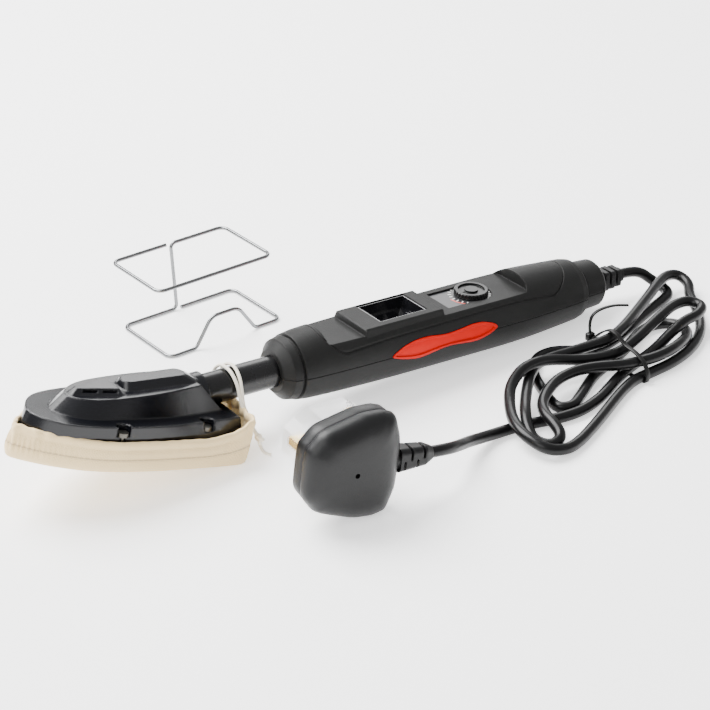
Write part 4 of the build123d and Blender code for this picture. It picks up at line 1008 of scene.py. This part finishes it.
# ---- plug ----------------------------------------------------------------------------------
@dataclass
class PlugShell:
    """Moulded body of the plug: a flange on the pin side and a domed outer face. Plug frame, mm.

    The pins point along +Y and the cord leaves along +X. A shell ring is its depth behind the pin
    face, its distance in from the outline and its share of the way to the middle; a ring of the
    hole's painted shade is its radius and its place along Y.
    """

    tail: float = 23.0
    head: float = -24.5
    half: float = 26.0
    mean_half: float = 25.0
    hole_x: float = -2.0
    around: int = 160
    hole_around: int = 24
    body: str = "root"
    rings: Points = (
        (0.0, 2.0, 0.97), (0.0, 2.0, 0.6), (0.0, 2.0, 0.15), (0.0, 1.2, 0.0), (0.25, 0.5, 0.0),
        (0.9, 0.1, 0.0), (4.0, 0.0, 0.0), (7.2, 0.0, 0.0), (7.7, 0.25, 0.0), (7.9, 0.5, 0.0),
        (8.3, 0.1, 0.0), (8.8, -0.5, 0.0), (9.8, -0.75, 0.0), (12.0, -0.6, 0.0),
        (13.6, -0.1, 0.0), (15.0, 0.8, 0.0), (16.3, 2.1, 0.0), (17.5, 3.9, 0.0),
        (18.5, 6.0, 0.0), (19.2, 8.2, 0.0), (19.6, 9.6, 0.15), (19.85, 9.6, 0.4),
        (20.0, 9.6, 0.7), (20.0, 9.6, 0.97))
    hole_rings: Points = (
        (1.3, -19.9), (1.2, -20.08), (1.05, -20.1), (0.6, -20.06), (0.3, -20.05), (0.02, -20.05))

    def outline(self) -> np.ndarray:
        """Rounded outline seen on the pins: a polygon's corners, cut four times at quarters."""
        near = [(self.tail, -12.0), (self.tail - 4.0, -self.half + 2.0), (12.0, -self.half),
                (2.0, -self.half + 0.5), (self.head + 7.0, -19.5), (self.head, -11.0)]
        corners = np.array(near + [(x, -z) for x, z in reversed(near)])
        between = 0.62 * corners + 0.38 * np.roll(corners, -1, axis=0)
        line = np.stack([corners, between], axis=1).reshape(-1, 2)
        for _ in range(4):
            ahead = np.roll(line, -1, axis=0)
            cut = [0.75 * line + 0.25 * ahead, 0.25 * line + 0.75 * ahead]
            line = np.stack(cut, axis=1).reshape(-1, 2)
        return through(line, self.around, closed=True)

    def build(self) -> bpy.types.Object:
        """Builds the shell.

        Each ring is the outline shrunk about the middle by an amount over its half width and set
        back from the pin face by a depth; the outer face closes on its middle with a shallow crown.
        """
        line = self.outline()
        layers = []
        for depth, inset, share in self.rings:
            flat = line * (1.0 - inset / self.mean_half) * (1.0 - share)
            layers.append(np.column_stack([flat[:, 0], np.full(self.around, -depth), flat[:, 1]]))
        return grid_object("plug_shell", PLUG.row(np.array(layers)), around=True, caps=True)

    def hole(self) -> bpy.types.Object:
        """Builds a black dot of painted shade for the small blind hole: circles about one point
        that narrow to it.
        """
        turn = np.linspace(0.0, 2 * pi, self.hole_around, endpoint=False)
        rims = [np.column_stack([self.hole_x + radius * np.cos(turn), np.full(self.hole_around, y),
                                 radius * np.sin(turn)]) for radius, y in self.hole_rings]
        return grid_object("plug_hole", PLUG.row(np.stack(rims)), around=True, caps=True)

    def dress(self) -> None:
        """Builds and dresses the shell, and a black dot of painted shade for the small blind hole
        in its face.
        """
        piece = self.build()
        face_out(piece)
        dress(piece, Finishes.plug_black, self.body)
        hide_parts("plug_body")
        hole = self.hole()
        face_out(hole)
        # The dot takes the dull pitch-black rubber finish: painted shade for the inside of the
        # hole.
        dress(hole, Finishes.lead_rubber, self.body)


def face_out(piece: bpy.types.Object) -> None:
    """Turns a closed piece's faces outwards, its doubles merged first.

    Args:
        piece: the piece whose mesh is mended.
    """
    mesh = bmesh.new()
    mesh.from_mesh(piece.data)
    bmesh.ops.remove_doubles(mesh, verts=mesh.verts, dist=1e-7)
    bmesh.ops.recalc_face_normals(mesh, faces=mesh.faces)
    mesh.to_mesh(piece.data)
    mesh.free()


@dataclass
class CableTie:
    """Thin black tie round the waist of the hank, with its head and a curling tail.

    Row frame, mm. A layer of the head is its share of the half sizes and its height.
    """

    width: float = 2.5
    thickness: float = 0.9
    head_at: tuple[float, float, float] = (132.3, -91.6, 7.2)
    head_half: tuple[float, float] = (2.3, 1.7)
    head_layers: Points = (
        (0.02, 0.0), (0.8, 0.0), (1.0, 0.3), (1.0, 3.6), (0.85, 4.0), (0.02, 4.0))
    head_around: int = 24
    body: str = "root"
    band: Points = (
        (131.8, -92.0, 3.6), (132.2, -94.0, 8.6), (132.6, -100.2, 15.0), (133.2, -105.6, 18.4),
        (133.6, -110.4, 18.2), (133.8, -117.0, 14.8), (133.6, -125.6, 13.6), (133.4, -131.8, 11.2),
        (133.2, -135.6, 6.6), (133.0, -135.8, 2.6), (132.8, -132.6, 0.7), (132.4, -114.0, 0.6),
        (132.0, -95.6, 0.7))
    tail: Points = (
        (132.0, -92.6, 7.0), (132.4, -91.2, 11.5), (132.8, -90.6, 16.5), (134.6, -90.6, 20.6),
        (139.4, -91.4, 22.8), (146.6, -93.4, 23.6), (153.6, -96.6, 23.0))

    def section(self) -> np.ndarray:
        """Rectangle with its corners cut off, as eight points."""
        half, edge = self.thickness / 2, self.width / 2
        return np.array([(-edge, -half * 0.6), (-edge * 0.9, -half), (edge * 0.9, -half),
                         (edge, -half * 0.6), (edge, half * 0.6), (edge * 0.9, half),
                         (-edge * 0.9, half), (-edge, half * 0.6)])

    def strap(self) -> bpy.types.Object:
        """Builds the band: the section carried round a closed line, its width along the hank."""
        section = self.section()
        line = through(self.band, 160, closed=True)
        along = np.roll(line, -1, axis=0) - np.roll(line, 1, axis=0)
        along /= np.linalg.norm(along, axis=1, keepdims=True)
        across = np.array([1.0, -0.02, 0.0])
        across = across - along * (along @ across)[:, None]
        across /= np.linalg.norm(across, axis=1, keepdims=True)
        out = np.cross(along, across)
        strip = line[:, None] + across[:, None] * section[:, :1] + out[:, None] * section[:, 1:]
        return grid_object("cable_tie_band", strip * MM, around=True, along=True)

    def loose_end(self) -> bpy.types.Object:
        """Builds the curling tail: the section, a little thinner, carried along its line."""
        flat = self.section()[:, ::-1] * np.array([1.0, 0.75])
        strip = carried(through(self.tail, 60), flat)
        return grid_object("cable_tie_tail", strip * MM, around=True, caps=True)

    def head(self) -> bpy.types.Object:
        """Builds the head: rings of a squared circle, its cosine and sine to a power of 0.35."""
        turn = np.linspace(0.0, 2 * pi, self.head_around, endpoint=False)
        x, y = (np.sign(wave) * np.abs(wave) ** 0.35 for wave in (np.cos(turn), np.sin(turn)))
        (at_x, at_y, at_z), (half_x, half_y) = self.head_at, self.head_half
        layers = [np.column_stack([at_x + half_x * share * x, at_y + half_y * share * y,
                                   np.full(self.head_around, at_z + z)])
                  for share, z in self.head_layers]
        return grid_object("cable_tie_head", np.stack(layers) * MM, around=True, caps=True)

    def dress(self) -> None:
        """Builds and dresses the band, the tail and the head."""
        band, tail, head = self.strap(), self.loose_end(), self.head()
        for piece in (band, tail, head):
            face_out(piece)
            dress(piece, Finishes.tie_black, self.body)
        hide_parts("cable_tie")


# ---- floor, light and camera ---------------------------------------------------------------
@dataclass(frozen=True)
class Lamp:
    """A square area lamp.

    Attributes:
        name: its name.
        at: where it is, metres.
        to: the point that it faces, metres.
        size: its side, metres.
        power: watts.
    """

    name: str
    at: tuple[float, float, float]
    to: tuple[float, float, float]
    size: float
    power: float

    def hang(self) -> None:
        """Adds the lamp, turned to the point that it faces."""
        data = bpy.data.lights.new(self.name, "AREA")
        data.size, data.energy = self.size, self.power
        lamp = bpy.data.objects.new(self.name, data)
        lamp.location = self.at
        aim = np.array(self.to) - np.array(self.at)
        lamp.rotation_euler = (float(np.arccos(-aim[2] / np.linalg.norm(aim))), 0.0,
                               float(np.arctan2(aim[1], aim[0]) - pi / 2))
        bpy.context.scene.collection.objects.link(lamp)


@dataclass
class Studio:
    """Pale floor, soft light and the camera.

    Attributes:
        camera_at: where the camera is, metres.
        camera_turn: its turns about X, Y and Z, degrees.
        lens, sensor: its focal length and the width of its film, mm.
        glow: light that the floor gives off.
        sky: light from all round.
        lamps: the area lamps.
    """

    camera_at: tuple[float, float, float] = (-0.5491, -0.8583, 0.551)
    camera_turn: tuple[float, float, float] = (61.59, 0.78, -35.17)
    lens: float = 112.0
    sensor: float = 36.0
    glow: float = 0.95
    sky: float = 0.7
    lamps: tuple[Lamp, ...] = (
        Lamp("key", (-0.35, 0.75, 1.3), (0.0, -0.02, 0.0), 1.2, 92.0),
        Lamp("fill", (-1.3, -0.5, 1.0), (0.0, 0.0, 0.0), 1.0, 16.0),
        Lamp("back", (0.9, 1.0, 0.8), (0.0, 0.0, 0.0), 0.7, 9.0))

    def build(self) -> None:
        """Builds the floor, the lights and the camera."""
        side = np.linspace(-6.0, 6.0, 13)
        x, y = np.meshgrid(side, side)
        floor = grid_object("floor", np.stack([x, y, np.zeros_like(x)], axis=-1))
        graph = Graph("floor_paper")
        haze = graph.noise(graph.place(), 3.0, 2.0)
        graph.finish(Base_Color=graph.mix(haze, rgba((0.9, 0.9, 0.9)), rgba((0.93, 0.93, 0.93))),
                     Roughness=0.7, Specular_IOR_Level=0.1, Emission_Color=(1.0, 1.0, 1.0, 1.0),
                     Emission_Strength=self.glow)
        floor.data.materials.append(graph.material)
        world = bpy.data.worlds.new("studio")
        bpy.context.scene.world = world
        world.use_nodes = True
        background = world.node_tree.nodes["Background"]
        background.inputs["Color"].default_value = (1.0, 1.0, 1.0, 1.0)
        background.inputs["Strength"].default_value = self.sky
        for lamp in self.lamps:
            lamp.hang()
        data = bpy.data.cameras.new("camera")
        data.lens, data.sensor_width, data.clip_end = self.lens, self.sensor, 20.0
        camera = bpy.data.objects.new("camera", data)
        camera.location = self.camera_at
        camera.rotation_euler = tuple(radians(a) for a in self.camera_turn)
        bpy.context.scene.collection.objects.link(camera)
        bpy.context.scene.camera = camera


def main() -> None:
    """Builds and dresses every sub-assembly."""
    logging.basicConfig(level=logging.INFO, format="%(name)s %(message)s")
    Studio().build()
    PackedNodes().dress()
    Sock().dress()
    Drawstring().dress()
    Lead().dress()
    PlugShell().dress()
    CableTie().dress()


if __name__ == "__main__":
    main()
